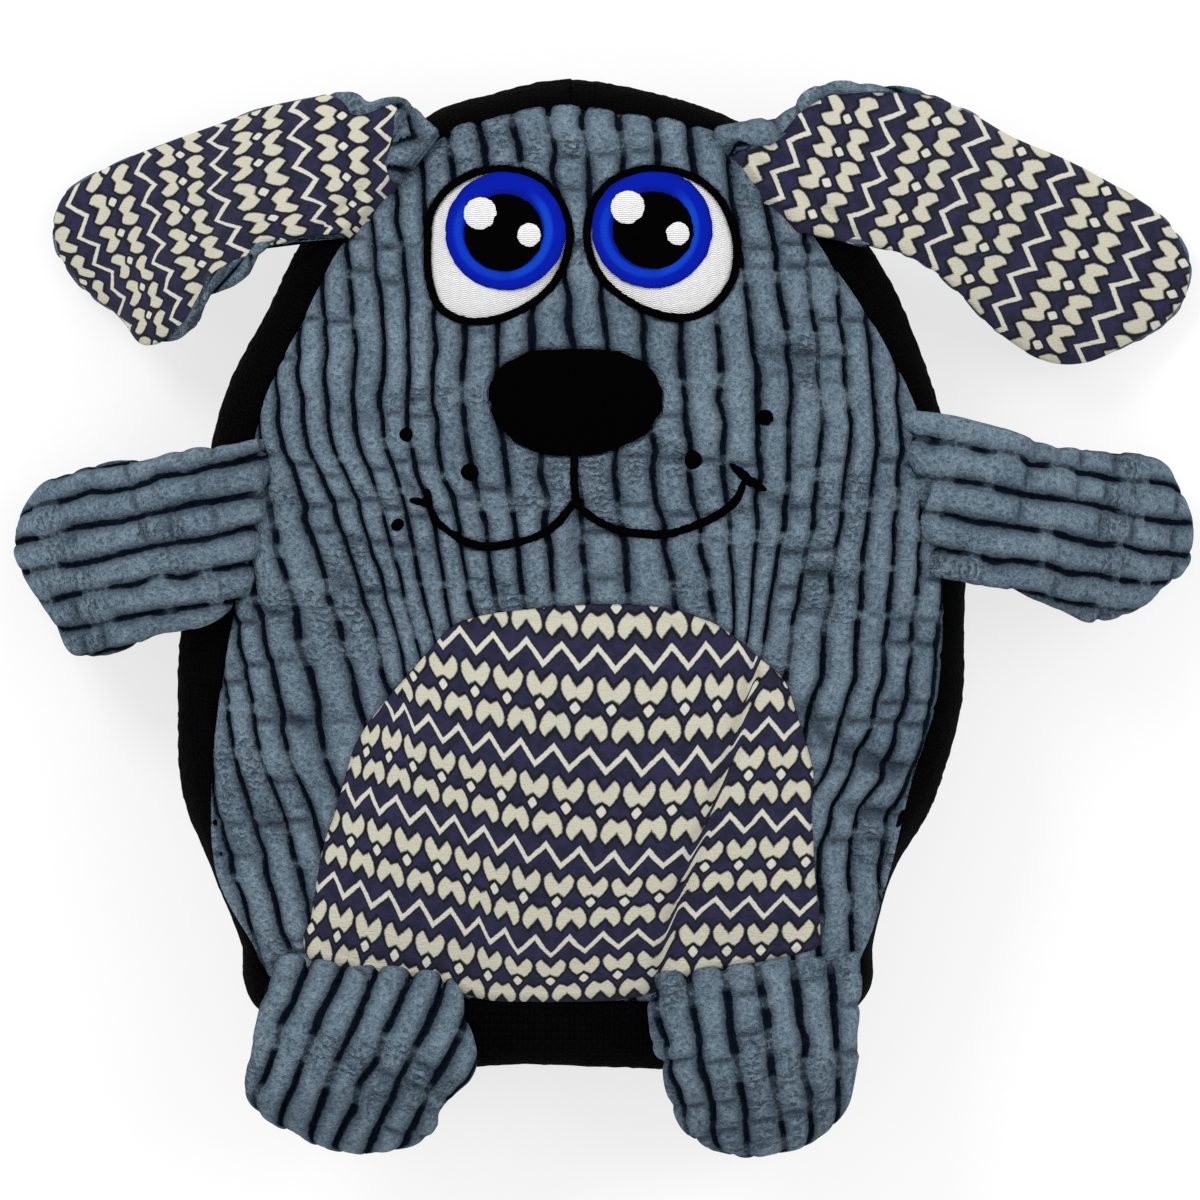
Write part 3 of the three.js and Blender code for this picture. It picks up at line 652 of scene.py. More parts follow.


# Finishes


def plush_finish(name, colours):
    """Short pile in ribs: the chart holds the rib number and the distance along it."""
    shade = Shade(name)
    rib, along = shade.chart("Rib")
    pinch, crush, spread, opened = (shade.level(key) for key in ("pinch", "crush", "spread", "open"))
    tuft = shade.noise(520, 2, 0.6)
    grain = shade.noise(1150, 2, 0.6)
    curl = shade.noise(780, 1, 0.5)
    patches = shade.noise(62, 3, 0.6)
    fibre = shade.noise(2600, 1, 0.5)

    ragged = (tuft - 0.5) * 0.26 + (shade.noise(75, 2) - 0.5) * 0.24
    across = rib.ridge() + ragged + opened
    bridged = spread * (0.45 + 1.6 * (curl - 0.35)).most(0).least(1)
    dotted = across.step(0.88, 0.96) * shade.noise(830, 1).step(0.44, 0.54) * 0.7
    groove = (across.step(0.80, 0.92) * (1 - bridged * 0.92)).most(dotted)
    # Painted shade on the shoulders of each rib, which turn away from the light
    shoulder_shade = (across + (tuft - 0.5) * 0.3).step(0.20, 0.92) * (1 - spread * 0.5)
    broken = shade.noise(260, 1).step(0.46, 0.58)
    creases = (along / (1.6 * MM) + tuft * 2.2).ridge().step(0.45, 0.95) * crush * broken
    specks = curl.step(0.50, 0.34) * (0.16 + 0.26 * crush)

    tone = patches * 0.45 + tuft * 0.55 + grain * 0.85 + fibre * 0.3 - 0.58
    pile = shade.mix(tone.step(0.12, 0.88), colours.plush, colours.plush_light)
    # Painted shade: the pile turns towards a darker blue where it is pinched in or folded, on the rib
    # shoulders, in the creases of crushed pile and in the pits among its curls
    dark = (pinch * 0.7).most(shoulder_shade * 0.72).most(creases * 0.5).most(specks)
    deep = shade.mix(dark, pile, linear(27, 36, 50))
    colour = shade.mix(groove * 0.98, deep, colours.groove)
    height = grain + tuft + fibre * 0.3 - groove * 0.9 - creases * 0.6 - specks * 0.8
    inputs = {"Base Color": colour, "Roughness": 1.0, "Specular IOR Level": 0.0}
    return shade.finish(inputs, height, 1.2 * MM)


def webbing_finish(name, colours):
    """Coarse black webbing of a basket weave: the chart counts its yarns both ways."""
    shade = Shade(name)
    round_it, over = shade.chart("Weave")
    warp = (round_it * math.pi).sine()
    weft = (over * math.pi).sine()
    checks = warp * weft
    yarns = (1 - warp * warp) * checks.step(-0.1, 0.1) + (1 - weft * weft) * checks.step(0.1, -0.1)
    fuzz = shade.noise(1500, 3, 0.6)
    lint = shade.noise(420, 3, 0.7).step(0.62, 0.78)
    # Darker towards (2, 2, 2) in the dips between the yarns: painted shade of the weave
    tone = (1 - yarns) * 0.7 + fuzz * 0.3
    colour = shade.mix(tone, linear(2, 2, 2), colours.webbing)
    colour = shade.mix(lint * 0.15, colour, linear(30, 30, 32))
    inputs = {"Base Color": colour, "Roughness": 0.95, "Specular IOR Level": 0.02}
    return shade.finish(inputs, (1 - yarns) + fuzz * 0.4, 0.6 * MM)


# One period of the print, in pixels of the photograph: its width and height, the height of a zigzag,
# how far down its rows of leaves and stars lie, and half the width and the widest place of a leaf pair
PRINT_SIDE = 37.4
PRINT_DOWN = 101.0
ZIGZAG_RISE = 10.4
UPPER_LEAVES_DOWN = 19.2
STARS_DOWN = 50.4
LOWER_LEAVES_DOWN = 81.4
LEAVES_HALF = 16.3
LEAVES_WIDEST = 8.5
STAR_POWER = 1.25


def leaf_pair(x, y):
    """How far inside a pair of leaves, from the middle line and from the leaves' tips."""
    low, high = (y - LEAVES_WIDEST).most(0), (LEAVES_WIDEST - y).most(0)
    outer = LEAVES_HALF - 0.0315 * low * low - 0.070 * high * high - x
    notch = (y - 12.3 + 1.22 * x) * 0.64
    foot = (20.2 + 0.6 * x - y) * 0.85
    return outer.least(notch).least(foot)


def print_finish(name, colours):
    """Cotton printed with zigzags and rows of leaf pairs; the chart is in periods of the pattern."""
    shade = Shade(name)
    side, down = shade.chart("Print")
    wobble = (shade.noise(230, 2) - 0.5) * 0.05
    rough = (shade.noise(1300, 2) - 0.5) * 2.4
    q = (down + wobble * 0.4).fract() * PRINT_DOWN
    middle = ((side + wobble).fract() * PRINT_SIDE - PRINT_SIDE / 2).size()

    line = ZIGZAG_RISE - middle * (4 * ZIGZAG_RISE / PRINT_SIDE)
    off_line = (q - line).size().least((q - PRINT_DOWN - line).size()) + rough
    upper = leaf_pair(middle, q - UPPER_LEAVES_DOWN)
    lower = leaf_pair(PRINT_SIDE / 2 - middle, LOWER_LEAVES_DOWN - q)
    inside = upper.most(lower) + rough
    star_side, star_down = middle * 1.3, (q - STARS_DOWN).size() * 1.12
    star = (star_side.power(STAR_POWER) + star_down.power(STAR_POWER)).power(1 / STAR_POWER) + rough * 0.6
    zigzag, zigzag_rim = off_line.step(4.9, 2.5), off_line.step(7.4, 5.2)
    leaf, leaf_rim = inside.step(-1.4, 1.1), inside.step(-5.4, -2.6)
    star_fill, star_rim = star.step(8.0, 5.8), star.step(11.6, 9.4)

    weave = shade.noise(2300, 2, 0.7)
    wear = shade.noise(150, 3, 0.6)
    blotch = shade.noise(330, 3, 0.7).step(0.38, 0.62)
    ground = shade.mix(blotch * 0.8, colours.print_navy, linear(26, 30, 44))
    rims = leaf_rim.most(star_rim).most(zigzag_rim * 0.8)
    ground = shade.mix(rims * 0.92, ground, colours.print_dark)
    cream = shade.mix(wear * 0.35 + weave * 0.2, colours.print_cream, linear(186, 182, 160))
    cream = shade.mix(star_fill.most(zigzag) * 0.35, cream, linear(224, 224, 220))
    inked = zigzag.most(leaf).most(star_fill)
    colour = shade.mix(inked * (0.88 + 0.12 * weave), ground, cream)
    threads = shade.threads((2600, 700, 700)) + shade.threads((700, 2600, 700))
    inputs = {"Base Color": colour, "Roughness": 0.9, "Sheen Weight": 0.05, "Specular IOR Level": 0.15}
    return shade.finish(inputs, threads * 0.6 + weave * 0.4, 0.35 * MM)


def thread_finish(name, colour, second, roughness=0.6, gloss=0.1):
    """Satin stitch: fine threads that run along the piece's own chart."""
    shade = Shade(name)
    across, along = shade.chart("Stitch")
    strand = (across + (along * 3).sine() * 0.15).ridge()
    fuzz = shade.noise(1700, 3, 0.65)
    # In the dips between the threads the colour turns towards the second one, which for the white thread is
    # painted shade; the fuzz also mixes it in at random
    tone = strand.step(0.55, 1.0) * 0.6 + fuzz * 0.5 - 0.15
    inputs = {
        "Base Color": shade.mix(tone, colour, second), "Roughness": roughness, "Specular IOR Level": gloss,
    }
    return shade.finish(inputs, (1 - strand * strand) + fuzz * 0.7, 0.3 * MM)


def iris_finish(name, colours):
    """Blue satin stitch, darker at the rim, with pale crescents low on both sides. The chart is in radii."""
    shade = Shade(name)
    across, up = shade.chart("Iris")
    radius = (across * across + up * up).power(0.5)
    shifted = across + 0.04
    inner = (shifted * shifted + up * up).power(0.5)
    right = (across * 0.93 - up * 0.36).step(0.05, 0.55)
    left = (across * -0.8 - up * 0.6).step(0.1, 0.6)
    crescent = inner.step(0.66, 0.72) * inner.step(0.86, 0.78) * right.most(left * 0.7)
    rim = radius.step(0.90, 1.0).most(radius.step(0.74, 0.66))
    fuzz = shade.noise(1700, 3, 0.65)
    colour = shade.mix(rim * 0.5, colours.blue_thread, linear(3, 14, 90))
    colour = shade.mix(crescent * 0.75, colour, linear(16, 74, 205))
    colour = shade.mix(fuzz * 0.3, colour, linear(3, 16, 110))
    strand = (shade.maths("ARCTAN2", up, across) * 44 / math.pi).ridge()
    inputs = {"Base Color": colour, "Roughness": 0.8, "Specular IOR Level": 0.04}
    return shade.finish(inputs, (1 - strand * strand) * 0.4 + fuzz * 0.6, 0.2 * MM)


def plain_finish(name, colour, dark, scale, roughness, relief):
    """Moulded plastic or loose fibre, for the pieces inside."""
    shade = Shade(name)
    grain = shade.noise(scale, 4, 0.6)
    return shade.finish({"Base Color": shade.mix(grain, colour, dark), "Roughness": roughness}, grain, relief)


# Mesh making


def grid_places(columns, rows):
    """A flat grid, and where each of its vertices is, from 0 to 1 both ways."""
    mesh = bmesh.new()
    bmesh.ops.create_grid(mesh, x_segments=columns, y_segments=rows, size=1)
    flat = np.array([v.co[:2] for v in mesh.verts])
    return mesh, (flat + 1) / 2


def disc_from_square(share):
    """The square's places moved into a round disc: the distance from the middle and the direction."""
    u, v = share[:, 0] * 2 - 1, share[:, 1] * 2 - 1
    x, y = u * np.sqrt(1 - v * v / 2), v * np.sqrt(1 - u * u / 2)
    return np.hypot(x, y), np.arctan2(y, x)


def shaped(name, mesh, places, charts, levels=None):
    """Moves the vertices of a grid to their places and gives them their charts and levels."""
    data = bpy.data.meshes.new(name)
    mesh.to_mesh(data)
    mesh.free()
    data.vertices.foreach_set("co", places.astype(np.float32).ravel())
    corner = np.empty(len(data.loops), int)
    data.loops.foreach_get("vertex_index", corner)
    for key, values in charts.items():
        layer = data.uv_layers.new(name=key)
        layer.uv.foreach_set("vector", np.stack(values, -1)[corner].astype(np.float32).ravel())
    for key, values in (levels or {}).items():
        layer = data.attributes.new(key, "FLOAT", "POINT")
        layer.data.foreach_set("value", values.astype(np.float32))
    data.update()
    return data


def close(data, depth=0.0, inset=0.0):
    """Welds what meets, turns an open rim down by a depth, and closes it."""
    mesh = bmesh.new()
    mesh.from_mesh(data)
    bmesh.ops.remove_doubles(mesh, verts=mesh.verts, dist=0.02 * MM)
    rim = [e for e in mesh.edges if e.is_boundary]
    if rim and depth:
        made = bmesh.ops.extrude_edge_only(mesh, edges=rim)["geom"]
        low = [v for v in made if isinstance(v, bmesh.types.BMVert)]
        middle = sum((v.co for v in low), Vector()) / len(low)
        for vert in low:
            away = vert.co - middle
            away.z = 0
            vert.co -= away.normalized() * inset
            vert.co.z -= depth
        rim = [e for e in made if isinstance(e, bmesh.types.BMEdge) and e.is_boundary]
    if rim:
        bmesh.ops.holes_fill(mesh, edges=rim, sides=0)
    bmesh.ops.recalc_face_normals(mesh, faces=mesh.faces)
    mesh.to_mesh(data)
    mesh.free()


def joined(name, parts):
    """One mesh of several, which are removed."""
    whole = bmesh.new()
    for part in parts:
        whole.from_mesh(part)
        bpy.data.meshes.remove(part)
    data = bpy.data.meshes.new(name)
    whole.to_mesh(data)
    whole.free()
    return data


def make_piece(name, data, material, node, body="root"):
    """A finished piece that stands for a node of the frame, and rides on a body unless none is given."""
    data.materials.append(material)
    data.polygons.foreach_set("use_smooth", [True] * len(data.polygons))
    piece = bpy.data.objects.new(name, data)
    bpy.context.scene.collection.objects.link(piece)
    if body:
        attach(piece, body)
    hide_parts(node)
    return piece


def height_normals(height, x, y, step=0.3 * MM):
    """Upward directions on a height over a plan."""
    dx = (height(x + step, y) - height(x - step, y)) / (2 * step)
    dy = (height(x, y + step) - height(x, y - step)) / (2 * step)
    normal = np.stack([-dx, -dy, np.ones_like(dx)], -1)
    return normal / np.linalg.norm(normal, axis=1, keepdims=True)


def grid_normals(places, columns, rows, probe, side):
    """Directions square to a grid of places, turned so that the probed one points to the side, up or down."""
    net = places.reshape(rows + 1, columns + 1, 3)
    normal = np.cross(np.gradient(net, axis=1), np.gradient(net, axis=0)).reshape(-1, 3)
    normal = normal / np.maximum(np.linalg.norm(normal, axis=1, keepdims=True), 1e-12)
    return normal if normal[probe, 2] * side > 0 else -normal


# The body's pieces

# The panels: the shares of the way to the seam where the plush starts to hang over, to scallop and to
# flatten, how much of a rib's height is sunk in the form, and how deep what is sewn on presses the plush
OVERHANG_FROM = 0.88
SCALLOP_FROM = 0.94
SEAM_FROM = 0.972
SCALLOP_REACH = 2.4 * MM
FRONT_SUNK = 0.55
BACK_SUNK = 1.0
PRESSED_DEPTH = 1.1 * MM
BACK_SWAY_SPAN = 40 * MM
PANEL_WALL = 3 * MM
PANEL_LAP = 0.4 * MM
LINING_CELLS = 72
# The side band, whose rows run over its outer face and back down its inner one
BAND_STEPS = 900
BAND_ROWS = 44
BAND_OUTER_SHARE = 0.72
BAND_WALL = 2 * MM
BAND_OVER = 34 * MM
BAND_LAP = 0.1 * MM
YARN = 1.25 * MM
WAVE_SPAN, WAVE_RISE = 17 * MM, 0.7 * MM
NUB_SPAN, NUB_RISE = 1.3 * MM, 0.22 * MM
# The embroidery
STITCH_WIDTH = 0.42 * MM
PAD_INSET = 0.1 * MM
LINE_SIDES = 14
LINE_HALF_HEIGHT = 0.8 * MM


def plush_panel(toy, name, node, material, cells, side):
    """The front or back panel: a crowned disc of plush with its ribs standing up from it."""
    shape = toy.shape
    mesh, share = grid_places(cells, cells)
    radius, angle = disc_from_square(share)
    reach = toy.outline.reach(angle)
    if side > 0:
        reach = reach + toy.over(angle) * smooth(OVERHANG_FROM, 1.0, radius)
    x, y = around(toy.centre, radius * reach, angle)
    if side > 0:
        height, sunk = toy.stuffed_z, FRONT_SUNK
        rib = wavering(rib_coordinate(x, y), y)
        press = toy.pressed(x, y)
        folds = fold_depth(x, y, FOLDS)
    else:
        height, sunk = toy.back_z, BACK_SUNK
        rib = x / shape.wale_pitch + 0.25 * np.sin(y / BACK_SWAY_SPAN) + 0.5
        press = folds = np.zeros_like(x)
    normal = side * height_normals(height, x, y)
    relief, levels = rib_relief(rib, y, loose=-0.07)
    # The folds also darken the pile through its pinch level: painted shade in the folds
    levels["pinch"] = np.clip(levels["pinch"] + folds / WAIST_HALF, 0, 1)

    at_head = smooth(0.78, 0.95, np.sin(angle))
    scallop = (relief - 0.6) * SCALLOP_REACH * smooth(SCALLOP_FROM, 1.0, radius) * at_head
    x, y = around((x, y), scallop, angle)
    inside = smooth(1.0, SEAM_FROM, radius)
    lift = shape.wale_height * (relief - sunk) * inside - (0.5 * MM - 0.8 * MM * relief) * (1 - inside)
    lift = lift * (1 - press) - PRESSED_DEPTH * press
    places = np.stack([x, y, height(x, y)], -1) + normal * (lift - folds)[:, None]
    places[:, 2] = np.maximum(places[:, 2], 0.02 * MM)
    data = shaped(name, mesh, places, {"Rib": (rib, y)}, levels)
    line_under(toy, data, side)
    return make_piece(name, data, material, node)


def line_under(toy, data, side):
    """Adds the inner face of a panel and joins it to the outer one round the seam."""
    shape = toy.shape
    mesh = bmesh.new()
    mesh.from_mesh(data)
    outer_rim = [e for e in mesh.edges if e.is_boundary]
    known = set(mesh.verts)
    bmesh.ops.create_grid(mesh, x_segments=LINING_CELLS, y_segments=LINING_CELLS, size=1)
    made = [v for v in mesh.verts if v not in known]
    radius, angle = disc_from_square((np.array([v.co[:2] for v in made]) + 1) / 2)
    x, y = around(toy.centre, radius * (toy.outline.reach(angle) - PANEL_WALL), angle)
    if side > 0:
        z = shape.front_seam_z - PANEL_LAP + (shape.front_crown - PANEL_WALL) * crown_rise(radius)
    else:
        z = shape.back_seam_z + PANEL_LAP - (shape.back_crown - PANEL_WALL) * crown_rise(radius)
        z = np.maximum(z, PANEL_WALL)
    for vert, place in zip(made, np.stack([x, y, z], -1)):
        vert.co = place
    inner = set(made)
    inner_rim = [e for e in mesh.edges if e.is_boundary and e.verts[0] in inner]
    bmesh.ops.bridge_loops(mesh, edges=outer_rim + inner_rim)
    bmesh.ops.recalc_face_normals(mesh, faces=mesh.faces)
    mesh.to_mesh(data)
    mesh.free()


def webbing_band(toy, name, node, material):
    """The black band round the side: a loop of webbing that bulges between the two seams."""
    shape = toy.shape
    mesh, share = grid_places(BAND_STEPS, BAND_ROWS)
    rows = closed_curve(np.column_stack([toy.points, toy.bulge]), BAND_STEPS)
    rows = np.vstack([rows, rows[:1]])
    length = distances_along(rows[:, :2])
    outward = left_of(directions_along(rows[:, :2], True))
    column = np.rint(share[:, 0] * BAND_STEPS).astype(int)
    along, bulge = length[column], rows[column, 2]
    v = share[:, 1]
    outer = v < BAND_OUTER_SHARE
    turn = np.where(outer, v / BAND_OUTER_SHARE, (1 - v) / (1 - BAND_OUTER_SHARE)) * math.pi
    inset = np.where(outer, 0, BAND_WALL) * np.clip(np.sin(turn) * 3, 0, 1)
    waves = sway_noise(along / WAVE_SPAN, turn * 1.3) * WAVE_RISE
    nubs = edge_noise(along / NUB_SPAN, turn * 7) * NUB_RISE
    ripple = (waves + nubs) * np.sin(turn) * np.clip(bulge / (6 * MM), 0.2, 1)
    out = bulge * np.sin(turn) - inset + ripple * outer
    plan = rows[column, :2] + outward[column] * out[:, None]
    middle = (shape.front_seam_z + shape.back_seam_z) / 2
    half = (shape.front_seam_z - shape.back_seam_z) / 2 + BAND_LAP
    z = middle + half * np.cos(turn)
    yarns_round = round(length[-1] / YARN / 2) * 2
    weave = along / length[-1] * yarns_round, turn / math.pi * BAND_OVER / YARN
    data = shaped(name, mesh, np.column_stack([plan, z]), {"Weave": weave})
    close(data)
    return make_piece(name, data, material, node)


def sewn_pad(toy, name, node, material, outline, lift, dome, cells, chart, depth=2.2, rough=0.0, relief=None):
    """A pad over an outline that follows the crown of the front, with a rounded edge. Its lift, dome and
    depth are in millimetres."""
    mesh, share = grid_places(cells, cells)
    radius, angle = disc_from_square(share)
    ragged = 1 + rough * edge_noise(angle * 9.0 + 20, np.full_like(angle, 2.5)) * radius**6
    x, y = around(outline.centre, radius * ragged * outline.reach(angle), angle)
    z = toy.stuffed_z(x, y) + lift * MM + dome * MM * crown_rise(radius)
    if relief:
        z = z + relief(x, y, radius)
    data = shaped(name, mesh, np.stack([x, y, z], -1), chart(x, y))
    close(data, depth * MM, PAD_INSET)
    return make_piece(name, data, material, node)


def stitched_line(toy, line, half_width, lift, taper=0.0, number=0):
    """A rope of satin stitch over the front. It tapers at both ends, or is a closed ring without a taper."""
    closed = not taper
    points = np.vstack([line, line[:1]]) if closed else line
    steps = len(points) - 1
    mesh, share = grid_places(steps, LINE_SIDES)
    across = left_of(directions_along(points, closed))
    column = np.rint(share[:, 0] * steps).astype(int)
    turn = share[:, 1] * FULL_TURN
    along = distances_along(points)[column]
    fuzz = 1 + 0.13 * edge_noise(along / (0.9 * MM) + 7 * number, turn * 1.2)
    if closed:
        thick = 1.0
        start = 1 + 0.13 * edge_noise(np.full_like(along, 7.0 * number), turn * 1.2)
        blend = smooth(0.97, 1.0, share[:, 0])
        fuzz = fuzz * (1 - blend) + blend * start
    else:
        thick = np.sqrt(np.clip(1 - np.abs(share[:, 0] * 2 - 1) ** (2 / taper), 0, 1))
        fuzz = fuzz + 0.12 * edge_noise(along / (0.38 * MM) + 31 * number, turn * 1.7)
    plan = points[column] + across[column] * (half_width * thick * fuzz * np.cos(turn))[:, None]
    z = toy.stuffed_z(plan[:, 0], plan[:, 1]) + lift + LINE_HALF_HEIGHT * thick * fuzz * np.sin(turn)
    data = shaped("line", mesh, np.column_stack([plan, z]), {"Stitch": (along / MM, np.cos(turn))})
    close(data)
    return data


# Limbs

# What limbs of a kind share: half the thickness and the height of the tip in millimetres, how full they
# are, how loose the pile is, how far its grooves open, and how many millimetres the tip swells
LIMB_KINDS = {
    "ear": dict(half=4.0, tip=0.8, fill=0.4, loose=0.03, opened=0.0, tip_swell=0.0),
    "arm": dict(half=7.5, tip=0.8, fill=0.7, loose=0.17, opened=0.0, tip_swell=0.45),
    "leg": dict(half=9.0, tip=14.0, fill=0.7, loose=0.03, opened=0.05, tip_swell=0.45),
}
# Each limb: its two edges from the root to the tip in pixels, how its ribs are spaced, lean and start,
# how far the cloth of one face wraps over each edge along it, and its folds as on the front
LIMBS = {
    "right_ear": dict(
        first=(
            (722, 127), (770, 119), (793, 107), (809, 92), (837, 84), (884, 86), (928, 94), (975, 113),
            (1015, 135), (1074, 159), (1134, 190), (1173, 218), (1195, 258), (1193, 293),
        ),
        second=(
            (803, 232), (857, 244), (875, 246), (908, 254), (936, 270), (967, 297), (999, 329), (1047, 358),
            (1090, 360), (1134, 341), (1169, 321), (1193, 293),
        ),
        pitch=7.4, lean=(0.94, 0.34), phase=0.6,
        over_first=((0, 1.0), (0.07, 0.9), (0.12, 0.5), (0.17, 0.55), (0.3, 0.4), (0.42, 0.0), (0.5, -0.2)),
        over_second=((0, -0.2), (1, -0.2)),
        folds=(
            (766, 138, 800, 190, 1.4, 1.4), (800, 190, 868, 250, 1.4, 1.6), (744, 146, 786, 198, 1.1, 1.3),
            (784, 136, 812, 172, 1.0, 1.0),
        ),
    ),
    "left_ear": dict(
        first=(
            (343, 233), (300, 238), (253, 254), (245, 275), (206, 297), (194, 325), (166, 337), (138, 341),
            (115, 313), (79, 285), (56, 256), (49, 236),
        ),
        second=(
            (427, 126), (403, 101), (368, 104), (344, 94), (269, 105), (213, 123), (158, 141), (107, 161),
            (63, 186), (49, 212), (49, 236),
        ),
        pitch=7.4, lean=(-0.9, 0.43), phase=0.4,
        over_first=((0.14, -0.2), (0.22, 0.5), (0.34, 0.75), (0.46, 0.75), (0.56, 0.3), (0.62, -0.2)),
        over_second=(
            (0, 1.5), (0.03, 1.3), (0.06, 0.8), (0.09, 0.3), (0.13, 0.4), (0.18, 0.6), (0.23, 0.2),
            (0.27, -0.2),
        ),
        folds=((392, 128, 366, 190, 1.5, 1.5), (366, 190, 318, 234, 1.5, 1.5)),
    ),
    "right_arm": dict(
        first=(
            (914, 413), (956, 420), (1007, 432), (1054, 447), (1106, 451), (1161, 459), (1181, 483),
            (1195, 519), (1195, 545),
        ),
        second=(
            (941, 573), (960, 578), (1007, 586), (1035, 596), (1066, 608), (1090, 619), (1122, 614),
            (1149, 602), (1165, 586), (1185, 572), (1195, 545),
        ),
        pitch=7.5, lean=(0.989, -0.15), phase=0.41,
    ),
    "left_arm": dict(
        first=(
            (238, 600), (205, 622), (161, 631), (143, 638), (125, 648), (100, 654), (71, 653), (55, 628),
            (37, 602), (21, 575), (11, 550),
        ),
        second=(
            (262, 441), (232, 449), (179, 454), (152, 462), (125, 462), (89, 468), (59, 477), (39, 486),
            (20, 509), (14, 532), (11, 550),
        ),
        pitch=7.2, lean=(-0.976, -0.219), phase=0.19,
    ),
    "right_leg": dict(
        first=(
            (857, 965), (858, 990), (854, 1035), (857, 1054), (849, 1098), (837, 1122), (819, 1138),
            (801, 1149), (762, 1157),
        ),
        second=(
            (656, 985), (652, 1007), (657, 1047), (665, 1062), (671, 1094), (687, 1130), (718, 1150),
            (762, 1157),
        ),
        pitch=7.4, lean=(0.17, -0.985), phase=0.0,
    ),
    "left_leg": dict(
        first=(
            (450, 985), (459, 995), (462, 1013), (470, 1041), (475, 1059), (469, 1076), (456, 1091),
            (437, 1111), (433, 1130), (416, 1144), (393, 1151), (366, 1156),
        ),
        second=(
            (278, 965), (265, 993), (262, 1013), (257, 1036), (250, 1066), (249, 1092), (257, 1107),
            (273, 1122), (295, 1132), (310, 1143), (333, 1150), (366, 1156),
        ),
        pitch=7.0, lean=(-0.375, -0.927), phase=0.27,
    ),
}
# The root: half its thickness, how far it is tucked into the body and sinks there, how far it rises above the
# front seam, and the share of a skin's rows that are tucked
ROOT_HALF = 2.5 * MM
ROOT_TUCK = 3.5 * MM
ROOT_SINK = 2.6 * MM
ROOT_RISE = 0.6 * MM
ROOT_ROWS = 0.05
# The skins, whose columns run over the outer face and back along the inner one
EDGE_STEPS = 400
SKIN = 1.4 * MM
SKIN_OUTER_SHARE = 0.76
SEAM_GAP = 0.1 * MM


class Limb:
    """A stuffed limb: two edges from the root to one tip, and the drape of its middle height."""

    def __init__(self, name, toy):
        self.name, self.toy = name, toy
        self.facts = {**LIMB_KINDS[name.split("_")[1]], **LIMBS[name]}
        self.joint = next(j for j in frame["joints"] if j["child"] == name)
        self.edges = [open_curve(places_of(self.facts[key]), EDGE_STEPS) for key in ("first", "second")]
        chord = self.edges[1][0] - self.edges[0][0]
        self.outward = np.array([-chord[1], chord[0]]) / np.linalg.norm(chord)

    def form(self, share, across, side, inset):
        """Places on the upper or lower face: share along, across from -1 to 1."""
        s = np.clip(share, 0, 1)
        index = s * (len(self.edges[0]) - 1)
        first, second = (
            np.stack([np.interp(index, np.arange(len(e)), e[:, k]) for k in (0, 1)], -1) for e in self.edges
        )
        middle, half_chord = (first + second) / 2, (second - first) / 2
        width = np.linalg.norm(half_chord, axis=1)
        used = np.clip(1 - inset / np.maximum(width, 1e-9), 0, 1)
        tucked = np.clip(-share * 20, 0, 1)
        plan = middle + half_chord * (across * used)[:, None] - self.outward * (tucked * ROOT_TUCK)[:, None]

        swell = ROOT_HALF + (self.facts["half"] * MM - ROOT_HALF) * smooth(0, 0.5, s)
        top = self.toy.shape.front_seam_z + ROOT_RISE
        tip = self.facts["tip"] * MM
        under = tip + (top - tip) * (1 + np.cos(math.pi * s)) / 2
        half = np.maximum(swell * np.sqrt(1 - s**4) - inset, 0)
        profile = np.clip(1 - np.abs(across) ** 2.4, 0, 1) ** 0.6
        z = under + swell - ROOT_SINK * tucked + side * (SEAM_GAP / 2 + half * profile * (1 - 0.5 * tucked))
        return np.column_stack([plan, z])

    def wrapped(self, turn, share, side):
        """Directions round the limb for turns from 0 to 1, with the cloth wrapped over the edges."""
        over = [
            np.interp(share, *np.array(self.facts[key], float).T) * -side if key in self.facts else 0.0
            for key in ("over_first", "over_second")
        ]
        return -over[0] + turn * (math.pi + over[0] + over[1])

    def cloth_places(self, places, columns, rows, middle):
        """Distances along and across the cloth, measured over its curve from the middle column."""
        net = places.reshape(rows + 1, columns + 1, 3)
        steps = np.linalg.norm(np.diff(net, axis=1), axis=2)
        arc = np.concatenate([np.zeros((rows + 1, 1)), np.cumsum(steps, axis=1)], axis=1)
        arc = (arc - arc[:, middle][:, None]).ravel()
        centre = net[:, middle, :2].repeat(columns + 1, axis=0).reshape(-1, 2)
        flat = np.linalg.norm(places[:, :2] - centre, axis=1) * np.sign(arc)
        lean = np.array(self.facts["lean"], float)
        lean /= np.linalg.norm(lean)
        square = np.array([lean[1], -lean[0]])
        first, second = (edge[0] for edge in self.edges)
        offset = places[:, :2] - (first + second) / 2
        return offset @ lean, offset @ square + np.sign(square @ (second - first)) * (arc - flat)

    def ribs(self, share, along, cross):
        """The rib numbers of the plush, its lift, how far a rib reaches out at the root, and its levels."""
        facts = self.facts
        sway = 0.2 * stuffing_noise(along / (30 * MM), cross / (40 * MM) + 9)
        rib = wavering(cross / (facts["pitch"] * MM) + facts["phase"] + sway, along)
        relief, levels = rib_relief(rib, along + facts["phase"] * 0.3, 3.4, 7 * MM, facts["loose"])
        levels["open"] = np.full_like(share, facts["opened"])
        lift = self.toy.shape.wale_height * (relief - 0.42) - 0.3 * MM
        lift = np.maximum(lift, -0.2 * MM - 2.2 * MM * smooth(0.94, 0.72, share))
        scallop = (np.maximum(relief, 0.3) - 0.75) * 3.2 * MM * smooth(0.06, 0.01, np.abs(share))
        return rib, lift, scallop, levels


